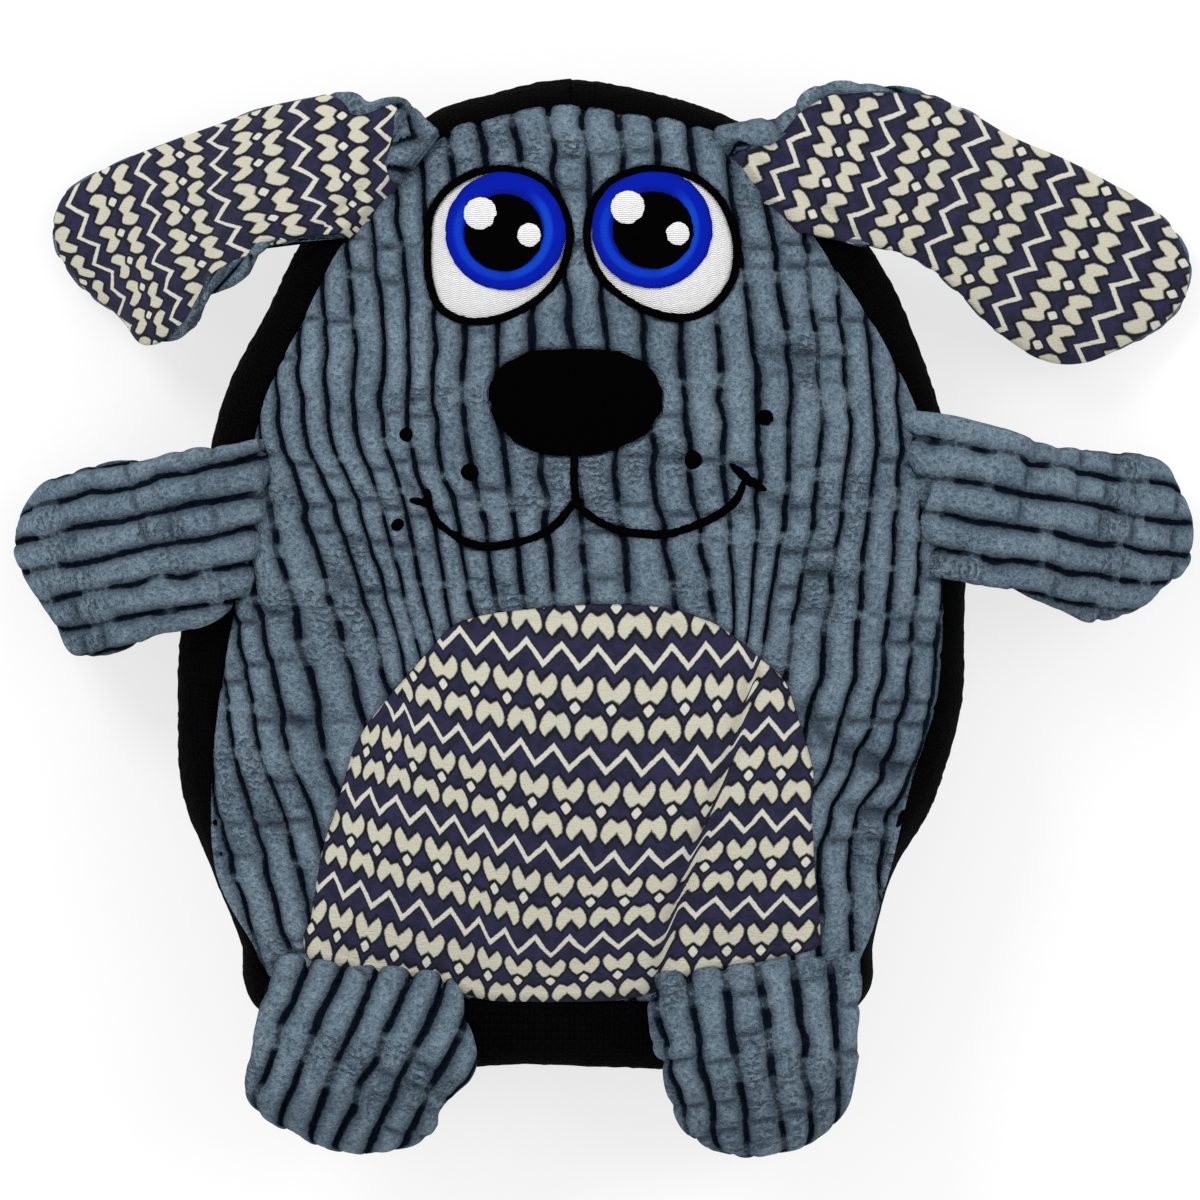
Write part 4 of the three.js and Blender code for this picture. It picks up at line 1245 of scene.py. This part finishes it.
def limb_skin(limb, name, node, material, side, columns, rows, chart=None, lumps=0.6):
    """One of the two cloths of a limb, with an inner face, so that it is a closed shell. It is ribbed plush
    unless it has a chart of its own."""
    facts = limb.facts
    mesh, share = grid_places(columns, rows)
    loop, row = share[:, 0], share[:, 1] - ROOT_ROWS
    s = np.where(row < 0, row, 1 - np.clip(1 - row / (1 - ROOT_ROWS), 0, 1) ** 1.35)
    outer = loop <= SKIN_OUTER_SHARE
    turn = np.where(outer, loop / SKIN_OUTER_SHARE, 1 - (loop - SKIN_OUTER_SHARE) / (1 - SKIN_OUTER_SHARE))
    turn = limb.wrapped(turn, s, side)
    face = np.where(np.sin(turn) >= 0, side, -side)
    places = limb.form(s, -np.cos(turn), face, np.where(outer, 0, SKIN))
    middle = round(columns * SKIN_OUTER_SHARE) // 2
    along, cross = limb.cloth_places(places, columns, rows, middle)
    normal = grid_normals(places, columns, rows, rows // 3 * (columns + 1) + middle, side)

    fade = smooth(1.0, 0.97, s) * smooth(-0.05, -0.01, s)
    if chart:
        lift, charts, levels = 0.0, chart(places[:, 0], places[:, 1]), None
    else:
        rib, lift, scallop, levels = limb.ribs(s, along, cross)
        lift = lift * fade * outer
        charts = {"Rib": (rib, along)}
        places[:, :2] -= limb.outward * (scallop * outer)[:, None]
    wave = 0.5 + 0.5 * stuffing_noise(along / (19 * MM) + 30, cross / (15 * MM) + 12)
    wave = (lumps * wave * fade + facts["tip_swell"] * smooth(0.8, 0.95, s)) * MM * outer
    if "folds" in facts:
        lift = lift - fold_depth(places[:, 0], places[:, 1], facts["folds"]) * (outer & (face > 0))
    upright = 0.35 + 0.65 * np.abs(normal[:, 2])
    places = places + normal * ((lift + wave) * upright)[:, None]
    places[:, 2] = np.maximum(places[:, 2], 0.05 * MM)
    data = shaped(name, mesh, places, charts, levels)
    close(data)
    piece = make_piece(name, data, material, node, body=None)
    hinge = np.array(limb.joint["pos_m"], float)
    outward = np.append(limb.outward, 0)
    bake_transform(piece)
    return piece


# The print's rows

# Where the print's zigzag lines run, in pixels: for each line its number down the cloth, then along it
# the number of the leaf column, and the place. Leaf pairs under a line have columns at half numbers.
BELLY_PRINT_LEFT = (
    (1, (
        (7.5, 477, 641), (8.5, 510, 647), (9.5, 544, 653), (10.5, 580, 657), (11.5, 616, 659),
        (12.5, 654, 658), (13.5, 689, 656), (14.5, 721, 653),
    )),
    (2, (
        (4.5, 396, 708), (5.5, 416, 721), (6.5, 444, 731), (7.5, 474, 740), (8.5, 505, 747),
        (9.5, 536, 753), (10.5, 570, 758), (11.5, 607, 761), (12.5, 643, 763), (13.5, 680, 761),
        (14.5, 712, 757),
    )),
    (3, (
        (3.5, 357, 795), (4.5, 381, 802), (5.5, 411, 811), (6.5, 441, 821), (7.5, 469, 831),
        (8.5, 499, 842), (9.5, 529, 850), (10.5, 562, 856), (11.5, 596, 861), (12.5, 630, 864),
        (13.5, 664, 856),
    )),
    (4, (
        (2.5, 321, 878), (3.5, 346, 886), (4.5, 374, 896), (5.5, 404, 907), (6.5, 435, 914),
        (7.5, 467, 923), (8.5, 491, 933), (9.5, 518, 944), (10.5, 551, 948), (11.5, 585, 943),
        (12.5, 619, 939), (13.5, 654, 936),
    )),
    (5, ((2.5, 300, 975), (5.5, 385, 1005), (8.5, 484, 1019), (11.5, 583, 1012), (13.5, 650, 1008))),
)
BELLY_PRINT_RIGHT = (
    (1, ((15.5, 756, 638), (16.5, 790, 638))),
    (2, ((14.5, 716, 733), (15.5, 751, 728), (16.5, 784, 728), (17.5, 818, 727))),
    (3, ((14.5, 712, 826), (15.5, 745, 821), (16.5, 777, 820), (17.5, 810, 819))),
    (4, ((14.5, 696, 906), (15.5, 731, 906), (16.5, 764, 907), (17.5, 800, 904))),
    (5, ((14.5, 690, 996), (15.5, 722, 995), (16.5, 757, 993), (17.5, 792, 990))),
)
EAR_PRINTS = {
    "left_ear": (
        (0, ((1, 70, 199), (2, 81, 232), (3, 95, 259), (4, 113, 284))),
        (1, ((1, 140, 166), (2, 147, 198), (3, 152, 228), (4, 155, 258), (5, 168, 285))),
        (2, ((0, 216, 139), (1, 218, 162), (2, 214, 188), (3, 223, 218), (4, 237, 241))),
        (3, ((0, 300, 106), (1, 297, 134), (2, 304, 165), (3, 314, 196), (4, 322, 218))),
        (4, ((0, 388, 99), (1, 386, 129), (2, 383, 160), (3, 385, 191), (4, 386, 218))),
    ),
    "right_ear": (
        (0, ((2, 805, 113), (3, 797, 145), (4, 781, 177))),
        (1, ((1, 888, 125), (2, 881, 160), (3, 871, 191), (4, 857, 221))),
        (2, ((1, 973, 148), (2, 962, 180), (3, 949, 214), (4, 934, 247))),
        (3, ((1, 1060, 182), (2, 1048, 214), (3, 1035, 247), (4, 1019, 277), (5, 1004, 307))),
        (4, ((1, 1148, 225), (2, 1139, 258), (3, 1125, 287), (4, 1107, 321), (5, 1089, 348))),
    ),
}
# The way along a row of print
BELLY_RUN = (1, 0)
EAR_RUNS = {"left_ear": (-0.26, -0.966), "right_ear": (0.37, -0.93)}


def beyond(at, known, values):
    """Reads a table by straight lines, which go on past its ends."""
    low = values[0] + (at - known[0]) * (values[1] - values[0]) / (known[1] - known[0])
    high = values[-1] + (at - known[-1]) * (values[-1] - values[-2]) / (known[-1] - known[-2])
    return np.where(at < known[0], low, np.where(at > known[-1], high, np.interp(at, known, values)))


def print_place(x, y, rows, run):
    """Periods of the print at places in plan, from the rows of its zigzags and the way along a row."""
    run = np.array(run, float) / np.linalg.norm(run)
    cross = np.array([-run[1], run[0]])
    pixel = np.stack(pixel_of(x, y), -1)
    along, across = pixel @ run, pixel @ cross
    numbers = np.array([number for number, _ in rows], float)
    tables = []
    for _, knots in rows:
        knots = np.array(knots, float)
        at = knots[:, 1:] @ run
        tables.append(np.stack([at, knots[:, 1:] @ cross, knots[:, 0]])[:, np.argsort(at)])
    slope = np.mean([np.polyfit(at, off, 1)[0] for at, off, _ in tables])
    lines = np.array([
        np.interp(along, at, off) + slope * (along - np.clip(along, at[0], at[-1])) for at, off, _ in tables
    ])
    columns = np.array([beyond(along, at, leaf_columns) for at, _, leaf_columns in tables])
    k = np.clip((lines < across).sum(0) - 1, 0, len(numbers) - 2)
    pick = np.arange(len(x))
    t = (across - lines[k, pick]) / (lines[k + 1, pick] - lines[k, pick])
    held = np.clip(t, 0, 1)
    side = columns[k, pick] * (1 - held) + columns[k + 1, pick] * held
    down = numbers[k] + (numbers[k + 1] - numbers[k]) * t
    return side, down


def past_crease(x, y):
    """How many pixels to the right of the belly's crease a place is."""
    column, row = pixel_of(x, y)
    crease = np.array(PATCH_CREASE, float)
    return column - np.interp(row, crease[:, 1], crease[:, 0])


# Charts of the cloths and threads, each a function of places in plan


def belly_chart(x, y):
    """The belly's print, with the step at the crease."""
    on_right = smooth(-5, 5, past_crease(x, y))
    halves = (BELLY_PRINT_LEFT, BELLY_PRINT_RIGHT)
    left, right = (np.array(print_place(x, y, rows, BELLY_RUN)) for rows in halves)
    return {"Print": tuple(left * (1 - on_right) + right * on_right)}


def ear_chart(name):
    return lambda x, y: {"Print": print_place(x, y, EAR_PRINTS[name], EAR_RUNS[name])}


def level_chart(lean=0.0):
    """Stitches that lie side by side along x."""
    return lambda x, y: {"Stitch": ((y + lean * x) / STITCH_WIDTH, x / MM)}


def iris_chart(column, row, radius):
    """Places from the middle of an iris, in its radii."""
    centre = place_of(column, row)
    return lambda x, y: {"Iris": ((x - centre[0]) / (radius * PIXEL), (y - centre[1]) / (radius * PIXEL))}


# Reliefs of the pads, each a function of places in plan and the share of the way to the rim


def stitch_relief(deep):
    """Fine unevenness of stitches, in millimetres, which dies out at the rim."""
    grain = 0.8 * MM
    return lambda x, y, radius: deep * MM * edge_noise(x / grain, y / grain) * smooth(1, 0.9, radius)


def belly_relief(x, y, radius):
    """The crease in the belly's cloth, the swells beside it, the puckers and the turned rim."""
    away = past_crease(x, y) * PIXEL
    crease = -1.9 * MM * bell(away, 2 * MM)
    swells = 0.9 * MM * bell(away + 7 * MM, 7 * MM) + 0.8 * MM * bell(away - 7 * MM, 5 * MM)
    puckers = 0.45 * MM * sway_noise(x / (11 * MM) + 4, y / (14 * MM)) * smooth(1.0, 0.8, radius)
    rim = 0.35 * MM * smooth(0.93, 0.965, radius) * smooth(1.0, 0.985, radius)
    return (crease + swells) * smooth(1.0, 0.93, radius) + puckers + rim


def held_inside(eye, inner, gap):
    """An outline, held inside the eye's by a gap."""
    angle = np.arange(OVAL_STEPS) * FULL_TURN / OVAL_STEPS
    offset = np.stack(around(inner.centre, inner.reach(angle), angle), -1) - eye.centre
    distance = np.linalg.norm(offset, axis=1)
    limit = eye.reach(np.arctan2(offset[:, 1], offset[:, 0])) - gap
    return Outline(eye.centre + offset * (np.minimum(distance, limit) / distance)[:, None], inner.centre)


def embroidered_eye(toy, name, eye, white, blue, black):
    """One eye: its white, iris, pupil and two glints as pads, and the line round it."""
    edge = outline_of(eye["outline"])
    under_line = held_inside(edge, edge, 0.4 * MM)
    iris = held_inside(edge, round_outline(*eye["iris"]), 0.7 * MM)
    pupil, large, small = (round_outline(*eye[key]) for key in ("pupil", "large_glint", "small_glint"))
    plain = level_chart()
    # Each pad: its lift, dome, cells, chart, depth, raggedness and the relief of its stitches
    pads = (
        ("white", white, under_line, 0.2, 1.6, 110, level_chart(0.3), 2.2, 0.006, 0.12),
        ("iris", blue, iris, 1.75, 0.3, 90, iris_chart(*eye["iris"]), 1.2, 0.012, 0.1),
        ("pupil", black, pupil, 2.05, 0.5, 60, plain, 1.0, 0.02, 0.1),
        ("large_glint", white, large, 2.35, 0.55, 30, plain, 1.0, 0.04, 0.0),
        ("small_glint", white, small, 2.35, 0.55, 30, plain, 1.0, 0.04, 0.0),
    )
    for part, thread, outline, lift, dome, cells, chart, depth, rough, deep in pads:
        sewn_pad(
            toy, f"{name}_{part}_pad", f"{name}_{part}", thread, outline, lift, dome, cells, chart,
            depth, rough, stitch_relief(deep),
        )
    line = closed_curve(places_of(eye["outline"]), 420)
    line = line[::-1] if signed_area(line) < 0 else line
    make_piece(f"{name}_line", stitched_line(toy, line, 0.85 * MM, 1.0 * MM), black, f"{name}_outline")


# Operators, one for each piece or group of like pieces


def current_toy(context):
    """The toy at the sizes that are set, and the colours."""
    return Toy(context.scene.dog_toy_shape), context.scene.dog_toy_colours


class DOGTOY_OT_body(Operator):
    """Builds the plush front and back and the webbing round the side"""

    bl_idname = "dogtoy.body"
    bl_label = "Body"

    def execute(self, context):
        toy, colours = current_toy(context)
        plush = plush_finish("wide_wale_plush", colours)
        webbing = webbing_finish("black_webbing", colours)
        top = plush_panel(toy, "body_front_plush", "front_panel", plush, 330, 1)
        under = plush_panel(toy, "body_back_plush", "back_panel", plush, 260, -1)
        band = webbing_band(toy, "body_side_webbing", "side_gusset", webbing)
        return {"FINISHED"}


class DOGTOY_OT_belly(Operator):
    """Builds the printed patch on the belly"""

    bl_idname = "dogtoy.belly"
    bl_label = "Belly Patch"

    def execute(self, context):
        toy, colours = current_toy(context)
        cloth = print_finish("leaf_pair_print", colours)
        patch = sewn_pad(
            toy, "belly_patch_cloth", "belly_patch", cloth, toy.patch, 0.0, 1.6, 200, belly_chart,
            rough=0.004, relief=belly_relief,
        )
        cut = np.array(PATCH, float) * PIXEL
        float(abs(signed_area(cut)))
        return {"FINISHED"}


class DOGTOY_OT_eyes(Operator):
    """Builds both embroidered eyes: line, white, iris, pupil and two glints each"""

    bl_idname = "dogtoy.eyes"
    bl_label = "Eyes"

    def execute(self, context):
        toy, colours = current_toy(context)
        white = thread_finish("white_stitches", colours.white_thread, linear(240, 240, 246))
        blue = iris_finish("blue_stitches", colours)
        black = thread_finish("black_stitches", colours.black_thread, linear(8, 8, 9), 0.95, 0.0)
        for name, eye in EYES.items():
            embroidered_eye(toy, name, eye, white, blue, black)
        return {"FINISHED"}


class DOGTOY_OT_nose_and_mouth(Operator):
    """Builds the nose, the stitched mouth and the whisker dots"""

    bl_idname = "dogtoy.nose_and_mouth"
    bl_label = "Nose and Mouth"

    def execute(self, context):
        toy, _ = current_toy(context)
        black = bpy.data.materials["black_stitches"]
        sewn_pad(
            toy, "nose_pad", "nose", black, toy.nose, 0.3, 2.0, 110, level_chart(0.2), rough=0.025,
            relief=stitch_relief(0.08),
        )
        lines = []
        for number, (half_width, taper, way) in enumerate(MOUTH_LINES):
            line = open_curve(places_of(way), 130 if len(way) > 4 else 40)
            lines.append(stitched_line(toy, line, half_width * PIXEL, 0.95 * MM, taper, number))
        make_piece("mouth_line", joined("mouth_line", lines), black, "mouth")
        for number, spot in enumerate(WHISKER_DOTS, 1):
            sewn_pad(
                toy, f"whisker_dot_{number}_knot", f"whisker_dot_{number}", black, round_outline(*spot),
                0.7, 1.0, 20, level_chart(), rough=0.1,
            )
        return {"FINISHED"}


class DOGTOY_OT_ears(Operator):
    """Builds the ears: printed cloth in front and plush behind"""

    bl_idname = "dogtoy.ears"
    bl_label = "Ears"

    def execute(self, context):
        toy, _ = current_toy(context)
        cloth = bpy.data.materials["leaf_pair_print"]
        plush = bpy.data.materials["wide_wale_plush"]
        for name in ("left_ear", "right_ear"):
            limb = Limb(name, toy)
            limb_skin(limb, f"{name}_print_face", f"{name}_front", cloth, 1, 170, 150, ear_chart(name))
            limb_skin(limb, f"{name}_plush_back", f"{name}_back", plush, -1, 190, 150)
        return {"FINISHED"}


class DOGTOY_OT_arms_and_legs(Operator):
    """Builds the four plush limbs, each from an upper and an under cloth"""

    bl_idname = "dogtoy.arms_and_legs"
    bl_label = "Arms and Legs"

    def execute(self, context):
        toy, _ = current_toy(context)
        plush = bpy.data.materials["wide_wale_plush"]
        for name in ("left_arm", "right_arm", "left_leg", "right_leg"):
            limb = Limb(name, toy)
            limb_skin(limb, f"{name}_upper_plush", f"{name}_front", plush, 1, 150, 120, lumps=1.0)
            limb_skin(limb, f"{name}_under_plush", f"{name}_back", plush, -1, 120, 100, lumps=0.9)
        return {"FINISHED"}


class DOGTOY_OT_insides(Operator):
    """Finishes the filling and the squeakers that are inside"""

    bl_idname = "dogtoy.insides"
    bl_label = "Filling and Squeakers"

    def execute(self, context):
        pale_fibre, dark_fibre = linear(233, 231, 226), linear(200, 198, 192)
        pale_plastic, dark_plastic = linear(228, 226, 218), linear(212, 209, 198)
        finishes = {
            "_filling": plain_finish("loose_fibre", pale_fibre, dark_fibre, 260, 1.0, 1 * MM),
            "_squeaker_": plain_finish("blown_plastic", pale_plastic, dark_plastic, 40, 0.42, 0.2 * MM),
        }
        for name, node in frame["nodes"].items():
            for part, finish in finishes.items():
                if part in name:
                    for place in node.material_slots:
                        place.material = finish
        return {"FINISHED"}


BELLOWS_RIBS = 3
BELLOWS_STEPS = 12
BELLOWS_SIDES = 72
BELLOWS_DEPTH = 4 * MM
BELLOWS_WALL = 1 * MM


class DOGTOY_OT_squeakers(Operator):
    """Builds the folding bellows of the two squeakers"""

    bl_idname = "dogtoy.squeakers"
    bl_label = "Squeaker Bellows"

    def execute(self, context):
        plastic = bpy.data.materials["blown_plastic"]
        for name in ("head", "belly"):
            node = f"{name}_squeaker_bellows"
            low, high = (np.array(corner, float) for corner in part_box(node))
            centre, height = (low + high) / 2, high[2] - low[2]
            turn = np.linspace(0, FULL_TURN * BELLOWS_RIBS, BELLOWS_STEPS * BELLOWS_RIBS + 1)
            out = (high[0] - low[0]) / 2 - BELLOWS_DEPTH * (1 - np.cos(turn)) / 2
            up = low[2] + height * turn / turn[-1]
            profile = list(zip(out, up)) + list(zip(out - BELLOWS_WALL, up))[::-1]
            mesh = bmesh.new()
            ring = [mesh.verts.new((centre[0] + r, centre[1], z)) for r, z in profile]
            edges = [mesh.edges.new(pair) for pair in zip(ring, ring[1:] + ring[:1])]
            bmesh.ops.spin(
                mesh, geom=ring + edges, cent=centre, axis=(0, 0, 1), angle=FULL_TURN, steps=BELLOWS_SIDES,
                use_merge=True,
            )
            bmesh.ops.recalc_face_normals(mesh, faces=mesh.faces)
            data = bpy.data.meshes.new(node)
            mesh.to_mesh(data)
            mesh.free()
            piece = make_piece(f"{name}_bellows_skin", data, plastic, node)
            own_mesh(piece)
        return {"FINISHED"}


# The stage

CAMERA_HEIGHT = 3.0
CAMERA_OFF_AXIS = 5.5 * MM
TRUE_SCALE_HEIGHT = 40 * MM
SENSOR_WIDTH = 36
PAPER_GLOW = 0.7
WORLD_STRENGTH = 0.76
# The soft lamps, which look at the origin: the place, the width and the power
LAMPS = {"key": ((-0.9, 1.1, 1.3), 0.8, 16.0), "fill": ((1.1, 0.3, 1.2), 1.2, 8.0)}


def floor_finish(name):
    """White paper that looks white from the camera and still keeps most of a soft shadow."""
    shade = Shade(name)
    paper = shade.finish({"Base Color": (0.97, 0.97, 0.97), "Roughness": 1.0, "Specular IOR Level": 0.0})
    ray = shade.node("ShaderNodeLightPath").outputs
    by_camera, by_gloss, by_glass = (
        Value(shade, ray[kind]) for kind in ("Is Camera Ray", "Is Glossy Ray", "Is Transmission Ray")
    )
    seen = (by_camera + by_gloss + by_glass).least(1)
    glow = shade.node("ShaderNodeEmission", None, {"Color": (1, 1, 1), "Strength": 1.0})
    both = shade.node(
        "ShaderNodeMixShader", None,
        {0: seen * PAPER_GLOW, 1: shade.surface.outputs[0], 2: glow.outputs[0]},
    )
    shade.links.new(both.outputs[0], shade.nodes["Material Output"].inputs["Surface"])
    return paper


def stage_object(context, name, data):
    thing = bpy.data.objects.new(name, data)
    context.scene.collection.objects.link(thing)
    return thing


class DOGTOY_OT_stage(Operator):
    """Builds the pale floor, the soft lights and the camera straight above"""

    bl_idname = "dogtoy.stage"
    bl_label = "Stage"

    def execute(self, context):
        mesh = bmesh.new()
        bmesh.ops.create_grid(mesh, x_segments=1, y_segments=1, size=6)
        data = bpy.data.meshes.new("floor")
        mesh.to_mesh(data)
        mesh.free()
        data.materials.append(floor_finish("white_floor"))
        stage_object(context, "floor", data)

        for name, (place, width, power) in LAMPS.items():
            light = bpy.data.lights.new(name, "AREA")
            light.shape = "DISK"
            light.size = width
            light.energy = power
            lamp = stage_object(context, name, light)
            lamp.location = place
            lamp.rotation_euler = (-Vector(place)).to_track_quat("-Z", "Y").to_euler()
        world = bpy.data.worlds.new("studio")
        world.use_nodes = True
        background = world.node_tree.nodes["Background"].inputs
        background["Color"].default_value = (1, 1, 1, 1)
        background["Strength"].default_value = WORLD_STRENGTH
        context.scene.world = world
        context.scene.view_settings.view_transform = "Standard"

        lens = bpy.data.cameras.new("photo_camera")
        lens.sensor_width = SENSOR_WIDTH
        lens.lens = SENSOR_WIDTH * (CAMERA_HEIGHT - TRUE_SCALE_HEIGHT) / (PHOTO_PIXELS * PIXEL)
        lens.clip_end = 20
        camera = stage_object(context, "photo_camera", lens)
        camera.location = (CAMERA_OFF_AXIS, 0, CAMERA_HEIGHT)
        context.scene.camera = camera
        return {"FINISHED"}


class DOGTOY_PT_panel(Panel):
    """Lists what the toy is built from"""

    bl_label = "Dog Toy"
    bl_idname = "DOGTOY_PT_panel"
    bl_space_type = "VIEW_3D"
    bl_region_type = "UI"
    bl_category = "Dog Toy"

    def draw(self, context):
        for group in (context.scene.dog_toy_shape, context.scene.dog_toy_colours):
            box = self.layout.box()
            for key in group.bl_rna.properties.keys():
                if key not in ("rna_type", "name"):
                    box.prop(group, key)
        for operator in OPERATORS:
            self.layout.operator(operator.bl_idname)


OPERATORS = (
    DOGTOY_OT_body, DOGTOY_OT_belly, DOGTOY_OT_eyes, DOGTOY_OT_nose_and_mouth, DOGTOY_OT_ears,
    DOGTOY_OT_arms_and_legs, DOGTOY_OT_insides, DOGTOY_OT_squeakers, DOGTOY_OT_stage,
)
CLASSES = (ToyShape, ToyColours, *OPERATORS, DOGTOY_PT_panel)


def register():
    for cls in CLASSES:
        bpy.utils.register_class(cls)
    bpy.types.Scene.dog_toy_shape = PointerProperty(type=ToyShape)
    bpy.types.Scene.dog_toy_colours = PointerProperty(type=ToyColours)


def unregister():
    del bpy.types.Scene.dog_toy_colours
    del bpy.types.Scene.dog_toy_shape
    for cls in reversed(CLASSES):
        bpy.utils.unregister_class(cls)


def main():
    register()
    bpy.ops.dogtoy.body()
    bpy.ops.dogtoy.belly()
    bpy.ops.dogtoy.eyes()
    bpy.ops.dogtoy.nose_and_mouth()
    bpy.ops.dogtoy.ears()
    bpy.ops.dogtoy.arms_and_legs()
    bpy.ops.dogtoy.insides()
    bpy.ops.dogtoy.squeakers()
    bpy.ops.dogtoy.stage()


if __name__ == "__main__":
    main()
